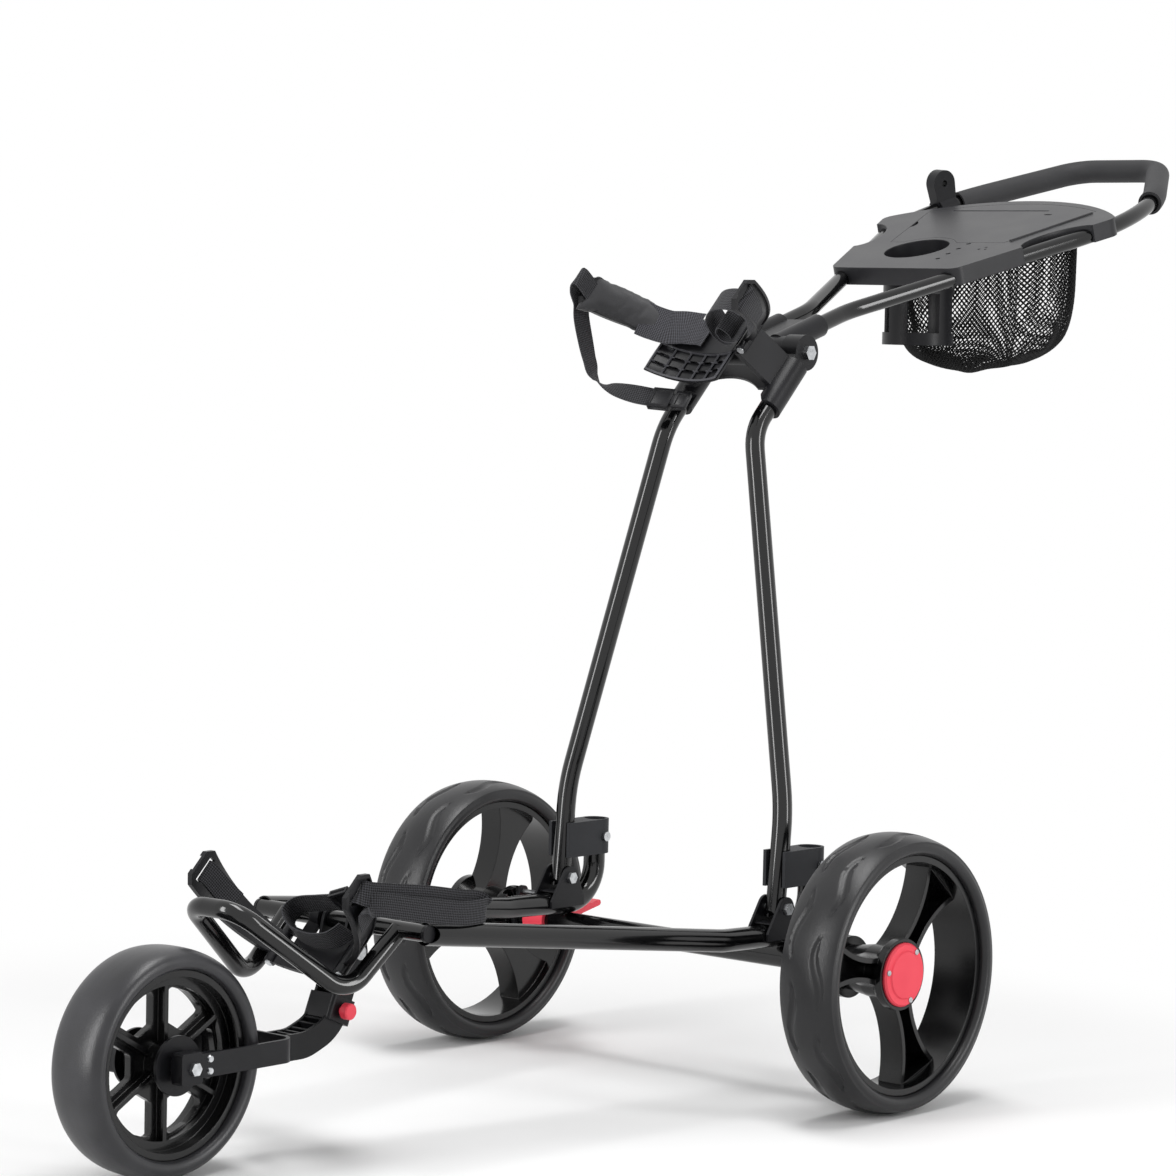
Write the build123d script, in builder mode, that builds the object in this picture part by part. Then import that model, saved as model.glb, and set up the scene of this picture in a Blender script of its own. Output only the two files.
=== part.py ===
from build123d import *
import os
from math import asin, atan2, cos, degrees, hypot, radians, sin, tan

os.makedirs("parts", exist_ok=True)

# Folding three-wheel push cart. Millimetres, +Z up, the front wheel towards -Y, the cart's left is +X.
# Heights are above the ground. Lengths along Y are from the rear axle and are moved so that the
# origin is on the ground under the middle of the whole cart.

# Wheels
rear_wheel_radius = 152.5
rear_tyre_width = 73.0
rear_seat_radius = 128.0
rear_rim_width = 56.0
rear_track = 601.0
front_wheel_radius = 115.0
front_tyre_width = 70.0
front_seat_radius = 92.0
front_rim_width = 54.0
wheelbase = 797.0
crown_drop = 10.0
rim_wall = 5.0
rim_lip_height = 2.0
rim_lip_width = 3.0
tyre_gap = 0.2
spoke_angle = 50.0
spoke_rib = 5.5
spoke_web = 7.0
spoke_depth = 30.0
hub_radius = 29.0
hub_reach_out = 12.0
hub_reach_in = 50.0
hub_bore_radius = 9.0
tooth_ring_radius = 34.0
tooth_ring_width = 12.0
tooth_count = 12
tooth_slot_width = 9.0
tooth_slot_depth = 8.0
cap_radius = 34.7
cap_height = 11.0
cap_wall = 3.0
cap_boss_radius = 25.0
cap_boss_height = 1.6
shroud_radius = 39.0
shroud_drop = 4.0
screw_radius = 3.2
screw_height = 1.4
screw_circle_radius = 30.0
axle_radius = 6.0
bush_length = 14.0
nut_radius = 9.0
nut_height = 5.0
running_gap = 0.05
seat_gap = 0.3

# Front wheel web, windows and axle
web_thickness = 8.0
window_inner_radius = 40.0
window_outer_radius = 76.0
window_spread_angle = 46.0
window_count = 6
front_spoke_rib = 5.0
front_hub_radius = 21.0
front_hub_width = 56.0
hub_disc_radius = 30.0
hub_disc_thickness = 3.5
front_axle_radius = 5.0

# Front fork and folding arm
fork_clearance = 9.0
fork_strap_thickness = 4.0
fork_strap_height = 24.0
fork_bend_radius = 16.0
fork_back = 146.0
fork_front_overlap = 12.0
block_height = 32.0
block_length = 58.0
block_thickness = 5.0
block_boss_reach = 10.0
rivet_radius = 4.0
rivet_height = 2.0
rivet_spacing = 12.0
rivet_back = 27.0
arm_width = 30.0
arm_depth = 27.0
arm_wall = 3.5
arm_rib_thickness = 2.5
arm_rib_count = 9
arm_bend_radius = 50.0
arm_pivot_back = 265.0
arm_pivot_z = 197.0
arm_pin_radius = 5.0
arm_knuckle_radius = 14.5
arm_knee_back = 235.0
arm_knee_z = 124.0
arm_elbow_back = 195.0
arm_elbow_z = 109.0
collar_length = 26.0
collar_margin = 3.5
collar_drop = 62.0
button_radius = 8.5
button_height = 9.0
button_stem_radius = 5.0
button_stem_length = 12.0
button_travel = 4.0
spring_radius = 4.0
spring_length = 8.0

# Chassis tubes
tube_wall = 1.5
side_tube_radius = 12.5
axle_tube_radius = 12.5
axle_end_gap = 2.5
cross_tube_radius = 9.0
cross_tube_length = 238.0
cross_tube_back = 259.0
cross_tube_z = 229.0
end_cap_thickness = 4.0
side_tube_front_half = 116.0
side_tube_kink_y = -110.0
side_tube_kink_drop = 4.0
side_tube_kink_radius = 120.0
upturn_y = 40.0
upturn_radius = 44.0
upturn_top_z = 264.0
bag_bar_radius = 9.75
bag_bar_half = 80.0
bag_bar_corner_half = 73.0
bag_bar_corner_back = 192.0
bag_bar_corner_z = 169.0
bag_bar_corner_radius = 32.0
bag_bar_nose_half = 34.0
bag_bar_nose_back = 75.0
bag_bar_nose_z = 260.0
bag_bar_nose_radius = 30.0
bracket_plate = 3.5

# Mast
upright_radius = 11.0
mast_half_width = 158.0
mast_pivot_y = -18.5
mast_pivot_z = 209.0
mast_bolt_radius = 4.0
mast_bend_y = -9.0
mast_bend_z = 317.0
mast_bend_radius = 220.0
mast_top_half = 64.0
mast_top_start = -50.0
mast_top_bend_radius = 62.0
clevis_plate = 3.0
clevis_ear_radius = 13.0
clevis_length = 56.0
bolt_head_radius = 7.0
bolt_head_height = 4.5
clip_low_z = 232.0
clip_height = 40.0
clip_jaw = 4.2
clip_jaw_reach = 8.0
clip_bolt_radius = 3.0

# Bag cradles
bag_slope = 45.5
bag_radius = 108.0
lower_bag_back = 160.0
lower_bag_z = 283.5
cradle_spacing = 844.0
panel_thickness = 5.0
panel_half_angle = 20.0
panel_width = 46.0
wing_thickness = 4.0
wing_tip_angle = 92.0
wing_tip_width = 46.0
wing_pivot_angle = 27.0
wing_pivot_offset = 4.0
wing_barrel_radius = 6.5
wing_barrel_length = 28.0
wing_pin_radius = 2.5
wing_lug_length = 9.0
wing_rib_height = 2.5
wing_rib_width = 3.0
wing_slot_length = 30.0
wing_slot_width = 7.0
wing_slot_margin = 8.0
lower_root_shift = -16.0
upper_root_shift = 31.0
webbing_thickness = 1.6
webbing_width = 25.0
pad_thickness = 2.4
pad_from_angle = 46.0
pad_to_angle = 80.0
band_thickness = 1.2
band_from_angle = 5.0
band_to_angle = 17.0
hook_wire = 1.5
buckle_length = 36.0
buckle_width = 32.0
buckle_thickness = 9.0
strap_tail_back = 145.0
strap_tail_along = 103.0
webbing_fall = 86.0
webbing_drop = 70.0
webbing_out = 9.0
webbing_end_u = 50.0
webbing_end_along = 56.0
bracket_arch_radius = 76.0
panel_drop = 42.0

# Mast bracket and handle hinge
sleeve_offset = 62.0
sleeve_wall = 4.5
sleeve_low = -16.0
sleeve_high = 52.0
hinge_rise = 73.0
boss_radius = 20.5
boss_inner = 46.5
boss_outer = 70.0
hinge_bolt_radius = 5.0
root_barrel_radius = 18.5
root_sleeve_wall = 4.0
root_sleeve_length = 62.0
knob_lobe_circle = 26.0
knob_lobe_radius = 14.0
knob_thickness = 18.0
knob_insert_radius = 11.0
knob_insert_height = 1.5

# Handle
handle_slope = 17.2
handle_rise = 7.5
handle_tube_radius = 9.5
handle_start = 18.0
handle_half_start = 28.0
handle_bend_start = 135.0
handle_bend_start_radius = 90.0
handle_wide_half = 184.0
handle_wide_at = 551.0
handle_wide_radius = 250.0
handle_end_half = 60.0
handle_end_at = 763.0
handle_end_radius = 46.0
grip_radius = 14.5
grip_from = 610.0

# Console tray on the handle, with its lid, cup cradle, net and umbrella holder
tray_front = 268.0
tray_rear_corner = 492.0
tray_rear_bow = 76.0
tray_side_margin = 13.5
tray_inner_margin = 12.5
tray_top = 22.0
tray_plate = 4.6
tray_skirt = 7.0
tray_wall = 3.0
tray_corner_radius = 16.0
arch_from = 358.0
arch_to = 462.0
arch_bite = 25.0
cup_u = -23.0
cup_at = 352.0
cup_radius = 40.0
cup_wall = 3.0
cup_collar_depth = 34.0
cup_cradle_depth = 96.0
cup_ring_height = 15.0
cup_leg_width = 26.0
cup_leg_count = 4
tee_u = 38.0
tee_from = 310.0
tee_pitch = 21.5
tee_count = 4
tee_radius = 3.0
marker_u = 74.0
marker_at = 354.0
marker_radius = 1.8
marker_circle_radius = 5.5
lid_front = 380.0
lid_rear = 519.0
lid_bow = 34.0
lid_hinge_front_u = 86.0
lid_hinge_rear_u = 126.0
lid_far_front_u = -82.0
lid_far_rear_u = -122.0
lid_thickness = 2.3
lid_ledge = 8.0
lid_gap = 0.5
lid_barrel_radius = 2.2
lid_pin_radius = 0.9
lid_lug_length = 9.0
lid_slit_from = -88.0
lid_slit_to = 56.0
lid_slit_at = 522.0
lid_slit_width = 3.0
lid_notch_u = 66.0
lid_notch_at = 505.0
lid_notch_length = 11.0
lid_notch_width = 4.0
finger_notch_at = 455.0
finger_notch_radius = 22.0
net_wall = 2.0
net_front = 402.0
net_rear = 512.0
net_front_half = 100.0
net_rear_half = 128.0
net_depth = 163.0
net_corner_share = 0.26
umbrella_along = 588.0
umbrella_length = 26.0
umbrella_wall = 5.0
umbrella_lug_height = 40.0
umbrella_lug_radius = 17.0
umbrella_lug_thickness = 16.0
umbrella_bore_radius = 4.25

# Foot brake
pedal_inner_x = 176.0
pedal_hub_width = 30.0
pedal_hub_wall = 5.0
pedal_reach = 76.0
pedal_width = 52.0
pedal_thickness = 7.0
pedal_tilt = 12.0
brake_plate = 5.0
brake_pin_radius = 3.0
brake_pin_length = 30.0
brake_pin_circle_radius = 29.0
brake_pin_angle = 90.0
brake_pin_gap = 1.0


# Shared places worked out from the sizes above
bag_cos = cos(radians(bag_slope))
bag_sin = sin(radians(bag_slope))
handle_cos = cos(radians(handle_slope))
handle_sin = sin(radians(handle_slope))
front_y = -wheelbase
arm_pivot_y = front_y + arm_pivot_back
arm_knee_y = front_y + arm_knee_back
arm_elbow_y = front_y + arm_elbow_back
cross_tube_y = front_y + cross_tube_back
bag_bar_corner_y = front_y + bag_bar_corner_back
bag_bar_nose_y = front_y + bag_bar_nose_back
lower_bag_y = front_y + lower_bag_back
upper_bag_y = lower_bag_y + cradle_spacing * bag_cos
upper_bag_z = lower_bag_z + cradle_spacing * bag_sin
sleeve_back = bag_radius + sleeve_offset
hinge_y = upper_bag_y + hinge_rise * bag_cos + sleeve_back * bag_sin
hinge_z = upper_bag_z + hinge_rise * bag_sin - sleeve_back * bag_cos
front_reach = wheelbase + front_wheel_radius
rear_reach = hinge_y + handle_end_at * handle_cos - handle_rise * handle_sin + grip_radius
axle_y = (front_reach - rear_reach) / 2
axle_z = rear_wheel_radius
side_tube_rest_z = axle_z + axle_tube_radius + side_tube_radius
wheel_x = rear_track / 2
ring_face = wheel_x - hub_reach_in - tooth_ring_width
axle_tube_length = 2 * (ring_face - axle_end_gap)
sides = ((1, "left"), (-1, "right"))
along_x = (1, 0, 0)


def at(x, y, z):
    return Vector(x, y + axle_y, z)


def save(piece, name):
    piece.label = name
    export_step(piece, f"parts/{name}.step")


def profile_plane(x, y, z, side=1):
    return Plane(origin=at(x, y, z), x_dir=(side, 0, 0), z_dir=(0, -side, 0))


def side_plane(x, y=0.0, z=0.0, side=1):
    return Plane(origin=at(x, y, z), x_dir=(0, 1, 0), z_dir=(side, 0, 0))


def bag_plane(bag_y, bag_z, along=0.0):
    origin = at(0, bag_y + along * bag_cos, bag_z + along * bag_sin)
    return Plane(origin=origin, x_dir=along_x, z_dir=(0, bag_cos, bag_sin))


def bag_side_plane(bag_y, bag_z):
    return Plane(origin=at(0, bag_y, bag_z), x_dir=(0, bag_sin, -bag_cos), z_dir=along_x)


def bag_point(bag_y, bag_z, across, back, along):
    return at(across, bag_y + along * bag_cos + back * bag_sin, bag_z + along * bag_sin - back * bag_cos)


handle_plane = Plane(origin=at(0, hinge_y, hinge_z), x_dir=along_x, z_dir=(0, -handle_sin, handle_cos))
tube_plane = handle_plane.offset(handle_rise)


def bent_tube(points, bends, radius, wall=tube_wall):
    with BuildPart() as tube:
        with BuildLine() as path:
            FilletPolyline(*points, radius=bends)
        with BuildSketch(Plane(origin=path.line @ 0, z_dir=path.line % 0)):
            Circle(radius)
            Circle(radius - wall, mode=Mode.SUBTRACT)
        sweep()
    return tube.part


def rod(start, end, radius):
    start = Vector(start)
    end = Vector(end)
    with BuildPart() as piece:
        with BuildSketch(Plane(origin=start, z_dir=end - start)):
            Circle(radius)
        extrude(amount=(end - start).length)
    return piece.part


def tyre(name, x, y, radius, seat, width, rim_width):
    half = width / 2
    seat_half = rim_width / 2 - rim_lip_width
    lip = seat + rim_lip_height + tyre_gap
    shoulder = radius - crown_drop
    bead_half = (half + seat_half) / 2
    with BuildPart() as piece:
        with BuildSketch(profile_plane(x, y, radius)):
            with BuildLine():
                Polyline((-seat_half, seat), (seat_half, seat), (seat_half, lip), (bead_half, lip + tyre_gap))
                Line((bead_half, lip + tyre_gap), (half, (lip + shoulder) / 2))
                Line((half, (lip + shoulder) / 2), (half, shoulder))
                ThreePointArc((half, shoulder), (0, radius), (-half, shoulder))
                Line((-half, shoulder), (-half, (lip + shoulder) / 2))
                Line((-half, (lip + shoulder) / 2), (-bead_half, lip + tyre_gap))
                Polyline((-bead_half, lip + tyre_gap), (-seat_half, lip), (-seat_half, seat))
            make_face()
        revolve(axis=Axis(at(x, y, radius), along_x))
    save(piece.part, name)


def barrel_outline(seat, rim_width):
    half = rim_width / 2
    inner = half - rim_lip_width
    crest = seat + rim_lip_height
    with BuildSketch() as outline:
        with BuildLine():
            Polyline(
                (-half, seat - rim_wall),
                (half, seat - rim_wall),
                (half, crest),
                (inner, crest),
                (inner, seat),
                (-inner, seat),
                (-inner, crest),
                (-half, crest),
                close=True,
            )
        make_face()
    return outline.sketch


# Rear wheel rims: barrel, three channelled spokes that flare into it, and a long hub with a toothed ring
with BuildSketch() as spoke_outline:
    spoke_end = rear_seat_radius - rim_wall / 2
    with BuildLine():
        ThreePointArc((hub_radius * 0.7, 19), ((hub_radius + spoke_end) / 2, 15), (spoke_end, 36))
        Line((spoke_end, 36), (spoke_end, -36))
        ThreePointArc((spoke_end, -36), ((hub_radius + spoke_end) / 2, -15), (hub_radius * 0.7, -19))
        Line((hub_radius * 0.7, -19), (hub_radius * 0.7, 19))
    make_face()
with BuildSketch() as spoke_pocket:
    add(spoke_outline.sketch)
    offset(amount=-spoke_rib, mode=Mode.REPLACE)

for side, hand in sides:
    centre = (side * wheel_x, 0, axle_z)
    spin = Axis(at(*centre), along_x)
    tyre(
        f"rear_tyre_{hand}", side * wheel_x, 0,
        rear_wheel_radius, rear_seat_radius, rear_tyre_width, rear_rim_width,
    )

    spoke_in = side_plane(side * (wheel_x + hub_reach_out - spoke_depth), 0, axle_z, side)
    ring_in = hub_reach_in + tooth_ring_width
    with BuildPart() as rim:
        with BuildSketch(profile_plane(*centre, side)):
            add(barrel_outline(rear_seat_radius, rear_rim_width))
            with BuildLine():
                Polyline(
                    (-ring_in, hub_bore_radius),
                    (hub_reach_out, hub_bore_radius),
                    (hub_reach_out, hub_radius),
                    (hub_reach_out - spoke_depth, hub_radius),
                    (-hub_reach_in, hub_radius - 5),
                    (-hub_reach_in, tooth_ring_radius),
                    (-ring_in, tooth_ring_radius),
                    close=True,
                )
            make_face()
        revolve(axis=spin)
        with BuildSketch(spoke_in):
            with PolarLocations(0, 3, start_angle=spoke_angle):
                add(spoke_outline.sketch)
            Circle(rear_seat_radius - rim_wall / 2, mode=Mode.INTERSECT)
            Circle(hub_radius - 1, mode=Mode.SUBTRACT)
        extrude(amount=spoke_depth)
        with BuildSketch(spoke_in.offset(spoke_depth)):
            with PolarLocations(0, 3, start_angle=spoke_angle):
                add(spoke_pocket.sketch)
            Circle(rear_seat_radius - rim_wall, mode=Mode.INTERSECT)
            Circle(hub_radius, mode=Mode.SUBTRACT)
        extrude(amount=spoke_web - spoke_depth, mode=Mode.SUBTRACT)
        with BuildSketch(profile_plane(*centre, side)):
            with BuildLine():
                Polyline(
                    (hub_reach_out - spoke_depth / 2, hub_radius - 1),
                    (hub_reach_out - 2, shroud_radius),
                    (hub_reach_out + cap_height - shroud_drop, shroud_radius),
                    (hub_reach_out + cap_height - shroud_drop, cap_radius + seat_gap),
                    (hub_reach_out, cap_radius + seat_gap),
                    (hub_reach_out, hub_radius - 1),
                    close=True,
                )
            make_face()
        revolve(axis=spin)
        with BuildSketch(side_plane(side * (wheel_x - ring_in), 0, axle_z, side)):
            with PolarLocations(tooth_ring_radius, tooth_count):
                Rectangle(2 * (tooth_ring_radius - hub_radius + 7), tooth_slot_width)
        extrude(amount=tooth_slot_depth, mode=Mode.SUBTRACT)
    save(rim.part, f"rear_rim_{hand}")

    cap_out = hub_reach_out + cap_height
    with BuildPart() as hub_cap:
        with BuildSketch(profile_plane(*centre, side)):
            with BuildLine():
                Polyline(
                    (hub_reach_out, cap_radius - cap_wall),
                    (hub_reach_out, cap_radius),
                    (cap_out - 2, cap_radius),
                    (cap_out, cap_radius - 2),
                    (cap_out, cap_boss_radius + cap_boss_height),
                    (cap_out + cap_boss_height, cap_boss_radius),
                    (cap_out + cap_boss_height, 0),
                    (cap_out - cap_wall, 0),
                    (cap_out - cap_wall, cap_radius - cap_wall),
                    close=True,
                )
            make_face()
        revolve(axis=spin)
    save(hub_cap.part, f"hub_cap_{hand}")

    with BuildPart() as cap_screws:
        with BuildSketch(side_plane(side * (wheel_x + cap_out), 0, axle_z, side)):
            with PolarLocations(screw_circle_radius, 3, start_angle=spoke_angle):
                Circle(screw_radius)
        extrude(amount=screw_height)
        chamfer(cap_screws.faces().filter_by(Axis.X).group_by(Axis.X)[-1 if side > 0 else 0].edges(), 0.6)
    save(cap_screws.part, f"cap_screws_{hand}")

    with BuildPart() as bushes:
        with BuildSketch(profile_plane(*centre, side)):
            with Locations((hub_reach_out - bush_length / 2, 0), (bush_length / 2 - ring_in, 0)):
                Rectangle(
                    bush_length,
                    hub_bore_radius,
                    align=(Align.CENTER, Align.MIN),
                )
            Rectangle(4 * ring_in, 2 * (axle_radius + running_gap), mode=Mode.SUBTRACT)
        revolve(axis=spin)
    save(bushes.part, f"hub_bushes_{hand}")

# Front wheel: foam tyre, barrel rim with a six-window web, hub and two hub discs
front_centre = (0, -wheelbase, front_wheel_radius)
front_spin = Axis(at(*front_centre), along_x)
tyre("front_tyre", 0, -wheelbase, front_wheel_radius, front_seat_radius, front_tyre_width, front_rim_width)

with BuildSketch() as window:
    inner_half = radians(window_spread_angle / 2) * 0.72
    outer_half = radians(window_spread_angle / 2)
    with BuildLine():
        Polyline(
            (window_inner_radius * cos(inner_half), window_inner_radius * sin(inner_half)),
            (window_outer_radius * cos(outer_half), window_outer_radius * sin(outer_half)),
            (window_outer_radius, 0),
            (window_outer_radius * cos(outer_half), -window_outer_radius * sin(outer_half)),
            (window_inner_radius * cos(inner_half), -window_inner_radius * sin(inner_half)),
            close=True,
        )
    make_face()
    fillet(window.vertices().group_by(Axis.X)[0], 5)
    fillet(window.vertices().group_by(Axis.Y)[0] + window.vertices().group_by(Axis.Y)[-1], 7)

with BuildPart() as front_rim:
    with BuildSketch(profile_plane(*front_centre)):
        add(barrel_outline(front_seat_radius, front_rim_width))
        step = front_rim_width / 4
        Rectangle(web_thickness, front_seat_radius - rim_wall / 2, align=(Align.CENTER, Align.MIN))
        with Locations((0, front_seat_radius - rim_wall)):
            Rectangle(2 * step, 2 * rim_wall, align=(Align.CENTER, Align.MAX))
        Rectangle(front_hub_width, front_hub_radius, align=(Align.CENTER, Align.MIN))
        Rectangle(2 * front_rim_width, 2 * (front_axle_radius + running_gap), mode=Mode.SUBTRACT)
    revolve(axis=front_spin)
    with BuildSketch(side_plane(-web_thickness, -wheelbase, front_wheel_radius)):
        with PolarLocations(0, window_count):
            add(window.sketch)
    extrude(amount=2 * web_thickness, mode=Mode.SUBTRACT)
    with BuildSketch(side_plane(-step, -wheelbase, front_wheel_radius)):
        rib_inner = front_hub_radius - 4
        rib_outer = front_seat_radius - rim_wall - 4
        with PolarLocations((rib_inner + rib_outer) / 2, window_count, start_angle=30):
            Rectangle(rib_outer - rib_inner, front_spoke_rib)
    extrude(amount=2 * step)
save(front_rim.part, "front_rim")

with BuildPart() as hub_discs:
    with BuildSketch(profile_plane(*front_centre)):
        for side, hand in sides:
            with Locations((side * (front_hub_width + hub_disc_thickness) / 2, 0)):
                Rectangle(hub_disc_thickness, hub_disc_radius, align=(Align.CENTER, Align.MIN))
        Rectangle(2 * front_rim_width, 2 * (front_axle_radius + running_gap), mode=Mode.SUBTRACT)
    revolve(axis=front_spin)
save(hub_discs.part, "front_hub_discs")

# Front fork: a flat strap bent to a U, plastic end blocks, rivets and the axle
fork_inner = front_tyre_width / 2 + fork_clearance
fork_mid = fork_inner + fork_strap_thickness / 2
fork_back_y = -wheelbase + fork_back
fork_tip_y = -wheelbase + fork_front_overlap
with BuildPart() as front_fork:
    with BuildSketch(Plane(origin=at(0, 0, front_wheel_radius - fork_strap_height / 2))):
        with BuildLine():
            FilletPolyline(
                (fork_mid, fork_tip_y),
                (fork_mid, fork_back_y),
                (-fork_mid, fork_back_y),
                (-fork_mid, fork_tip_y),
                radius=fork_bend_radius,
            )
        trace(line_width=fork_strap_thickness)
    extrude(amount=fork_strap_height)
save(front_fork.part, "front_fork")

disc_face = front_hub_width / 2 + hub_disc_thickness + seat_gap
block_face = fork_inner - block_thickness
with BuildPart() as end_blocks:
    for side, hand in sides:
        with BuildSketch(side_plane(side * block_face, -wheelbase, front_wheel_radius, side)):
            with Locations((block_length / 2 - block_height / 2, 0)):
                RectangleRounded(block_length, fork_strap_height, 4)
        extrude(amount=block_thickness)
        with BuildSketch(side_plane(side * block_face, -wheelbase, front_wheel_radius, side)):
            with Locations((fork_front_overlap / 2 - seat_gap - block_height / 4, 0)):
                RectangleRounded(block_height / 2 + fork_front_overlap, block_height, 4)
        extrude(amount=block_thickness + block_boss_reach)
        with BuildSketch(side_plane(side * disc_face, -wheelbase, front_wheel_radius, side)):
            Circle(block_height / 2 - 4)
        extrude(amount=fork_inner - disc_face)
        with BuildSketch(side_plane(0, -wheelbase, front_wheel_radius, side)):
            Circle(front_axle_radius)
        extrude(amount=front_rim_width * 2, mode=Mode.SUBTRACT)
    add(front_fork.part, mode=Mode.SUBTRACT)
save(end_blocks.part, "fork_end_blocks")

with BuildPart() as rivets:
    for side, hand in sides:
        rivet_face = side_plane(
            side * (fork_inner + fork_strap_thickness), -wheelbase + rivet_back, front_wheel_radius, side
        )
        with BuildSketch(rivet_face):
            with GridLocations(rivet_spacing, rivet_spacing, 1, 2):
                Circle(rivet_radius)
        extrude(amount=rivet_height, taper=25)

axle_half = fork_inner + block_boss_reach
with BuildPart() as front_axle:
    with BuildSketch(side_plane(-axle_half, -wheelbase, front_wheel_radius)):
        Circle(front_axle_radius)
    extrude(amount=2 * axle_half)
    for side, hand in sides:
        with BuildSketch(side_plane(side * axle_half, -wheelbase, front_wheel_radius, side)):
            RegularPolygon(bolt_head_radius, 6)
        extrude(amount=bolt_head_height)
    add(rivets.part)
save(front_axle.part, "front_axle_and_rivets")

# Folding front arm: a curved channel with a ladder of ribs, a collar for the latch and a pivot knuckle
arm_start = (arm_pivot_y, arm_pivot_z)
arm_knee = (arm_knee_y, arm_knee_z)
arm_end = (fork_back_y + fork_strap_thickness / 2, arm_elbow_z)
stem_length = hypot(arm_knee_y - arm_pivot_y, arm_knee_z - arm_pivot_z)
stem_y = (arm_knee_y - arm_pivot_y) / stem_length
stem_z = (arm_knee_z - arm_pivot_z) / stem_length
with BuildLine(Plane.YZ) as arm_path:
    FilletPolyline(
        (arm_start[0] + axle_y, arm_start[1]),
        (arm_knee[0] + axle_y, arm_knee[1]),
        (arm_elbow_y + axle_y, arm_elbow_z),
        (arm_end[0] + axle_y, arm_end[1]),
        radius=arm_bend_radius,
    )
with BuildPart() as front_arm:
    with BuildSketch(Plane(origin=arm_path.line @ 0, x_dir=along_x, z_dir=arm_path.line % 0)):
        Rectangle(arm_width, arm_depth)
        with Locations((0, arm_wall)):
            Rectangle(arm_width - 2 * arm_wall, arm_depth, mode=Mode.SUBTRACT)
    sweep(path=arm_path.line)
    for number in range(arm_rib_count):
        spot = 0.36 + 0.62 * number / (arm_rib_count - 1)
        with BuildSketch(Plane(origin=arm_path.line @ spot, x_dir=along_x, z_dir=arm_path.line % spot)):
            Rectangle(arm_width - arm_wall, arm_depth - 1)
        extrude(amount=arm_rib_thickness / 2, both=True)
    collar_spot = Plane(
        origin=at(0, arm_pivot_y + collar_drop * stem_y, arm_pivot_z + collar_drop * stem_z),
        x_dir=along_x,
        z_dir=(0, stem_y, stem_z),
    )
    with BuildSketch(collar_spot):
        RectangleRounded(arm_width + 2 * collar_margin, arm_depth + 2 * collar_margin, 4)
    extrude(amount=collar_length / 2, both=True)
    with BuildSketch(side_plane(-arm_width / 2, arm_pivot_y, arm_pivot_z)):
        Circle(arm_knuckle_radius)
    extrude(amount=arm_width)
    with BuildSketch(side_plane(-arm_width, arm_pivot_y, arm_pivot_z)):
        Circle(arm_pin_radius + running_gap)
    extrude(amount=2 * arm_width, mode=Mode.SUBTRACT)
    button_y = arm_pivot_y + collar_drop * stem_y
    button_z = arm_pivot_z + collar_drop * stem_z
    collar_face = arm_width / 2 + collar_margin
    bore_depth = button_stem_length + button_travel + spring_length
    with BuildSketch(side_plane(collar_face, button_y, button_z, -1)):
        Circle(button_stem_radius + running_gap)
    extrude(amount=bore_depth, mode=Mode.SUBTRACT)
save(front_arm.part, "front_arm")

with BuildPart() as latch_button:
    with BuildSketch(side_plane(collar_face - button_stem_length, button_y, button_z)):
        Circle(button_stem_radius)
    extrude(amount=button_stem_length + button_travel + seat_gap)
    with BuildSketch(side_plane(collar_face + button_travel + seat_gap, button_y, button_z)):
        Circle(button_radius)
    extrude(amount=button_height)
    chamfer(latch_button.faces().sort_by(Axis.X)[-1].edges(), 1.2)
save(latch_button.part, "latch_button")

with BuildPart() as latch_spring:
    with BuildSketch(side_plane(collar_face - bore_depth, button_y, button_z)):
        Circle(spring_radius)
        Circle(spring_radius - 1, mode=Mode.SUBTRACT)
    extrude(amount=spring_length + button_travel - seat_gap)
save(latch_spring.part, "latch_spring")

# Chassis tubes: side tubes with turned-up rear ends, rear cross axle and front cross tube
rear_slope = side_tube_kink_drop / -side_tube_kink_y
upturn_corner_z = side_tube_rest_z - rear_slope * upturn_y
for side, hand in sides:
    with BuildPart() as side_tube:
        add(
            bent_tube(
                (
                    at(side * side_tube_front_half, cross_tube_y, cross_tube_z),
                    at(side * mast_half_width, side_tube_kink_y, side_tube_rest_z + side_tube_kink_drop),
                    at(side * mast_half_width, upturn_y, upturn_corner_z),
                    at(side * mast_half_width, upturn_y, upturn_top_z),
                ),
                (side_tube_kink_radius, upturn_radius),
                side_tube_radius,
            )
        )
        with BuildSketch(side_plane(-cross_tube_length, cross_tube_y, cross_tube_z)):
            Circle(cross_tube_radius)
        extrude(amount=2 * cross_tube_length, mode=Mode.SUBTRACT)
        with BuildSketch(side_plane(-mast_half_width * 2, upturn_y, clip_low_z + clip_height / 2)):
            Circle(clip_bolt_radius)
        extrude(amount=4 * mast_half_width, mode=Mode.SUBTRACT)
        side_tube_solids = side_tube.solids().sort_by(SortBy.VOLUME)
    save(side_tube_solids[-1], f"side_tube_{hand}")

with BuildPart() as rear_axle_tube:
    with BuildSketch(side_plane(-axle_tube_length / 2, 0, axle_z)):
        Circle(axle_tube_radius)
        Circle(axle_tube_radius - tube_wall, mode=Mode.SUBTRACT)
    extrude(amount=axle_tube_length)
save(rear_axle_tube.part, "rear_axle_tube")

plug_length = 36.0
stub_end = wheel_x + hub_reach_out + seat_gap + nut_height
with BuildPart() as axle_stubs:
    for side, hand in sides:
        with BuildSketch(side_plane(side * (axle_tube_length / 2 - plug_length), 0, axle_z, side)):
            Circle(axle_tube_radius - tube_wall)
        extrude(amount=plug_length)
        with BuildSketch(side_plane(side * axle_tube_length / 2, 0, axle_z, side)):
            Circle(axle_radius)
        extrude(amount=stub_end - axle_tube_length / 2)
save(axle_stubs.part, "axle_stubs")

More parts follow.
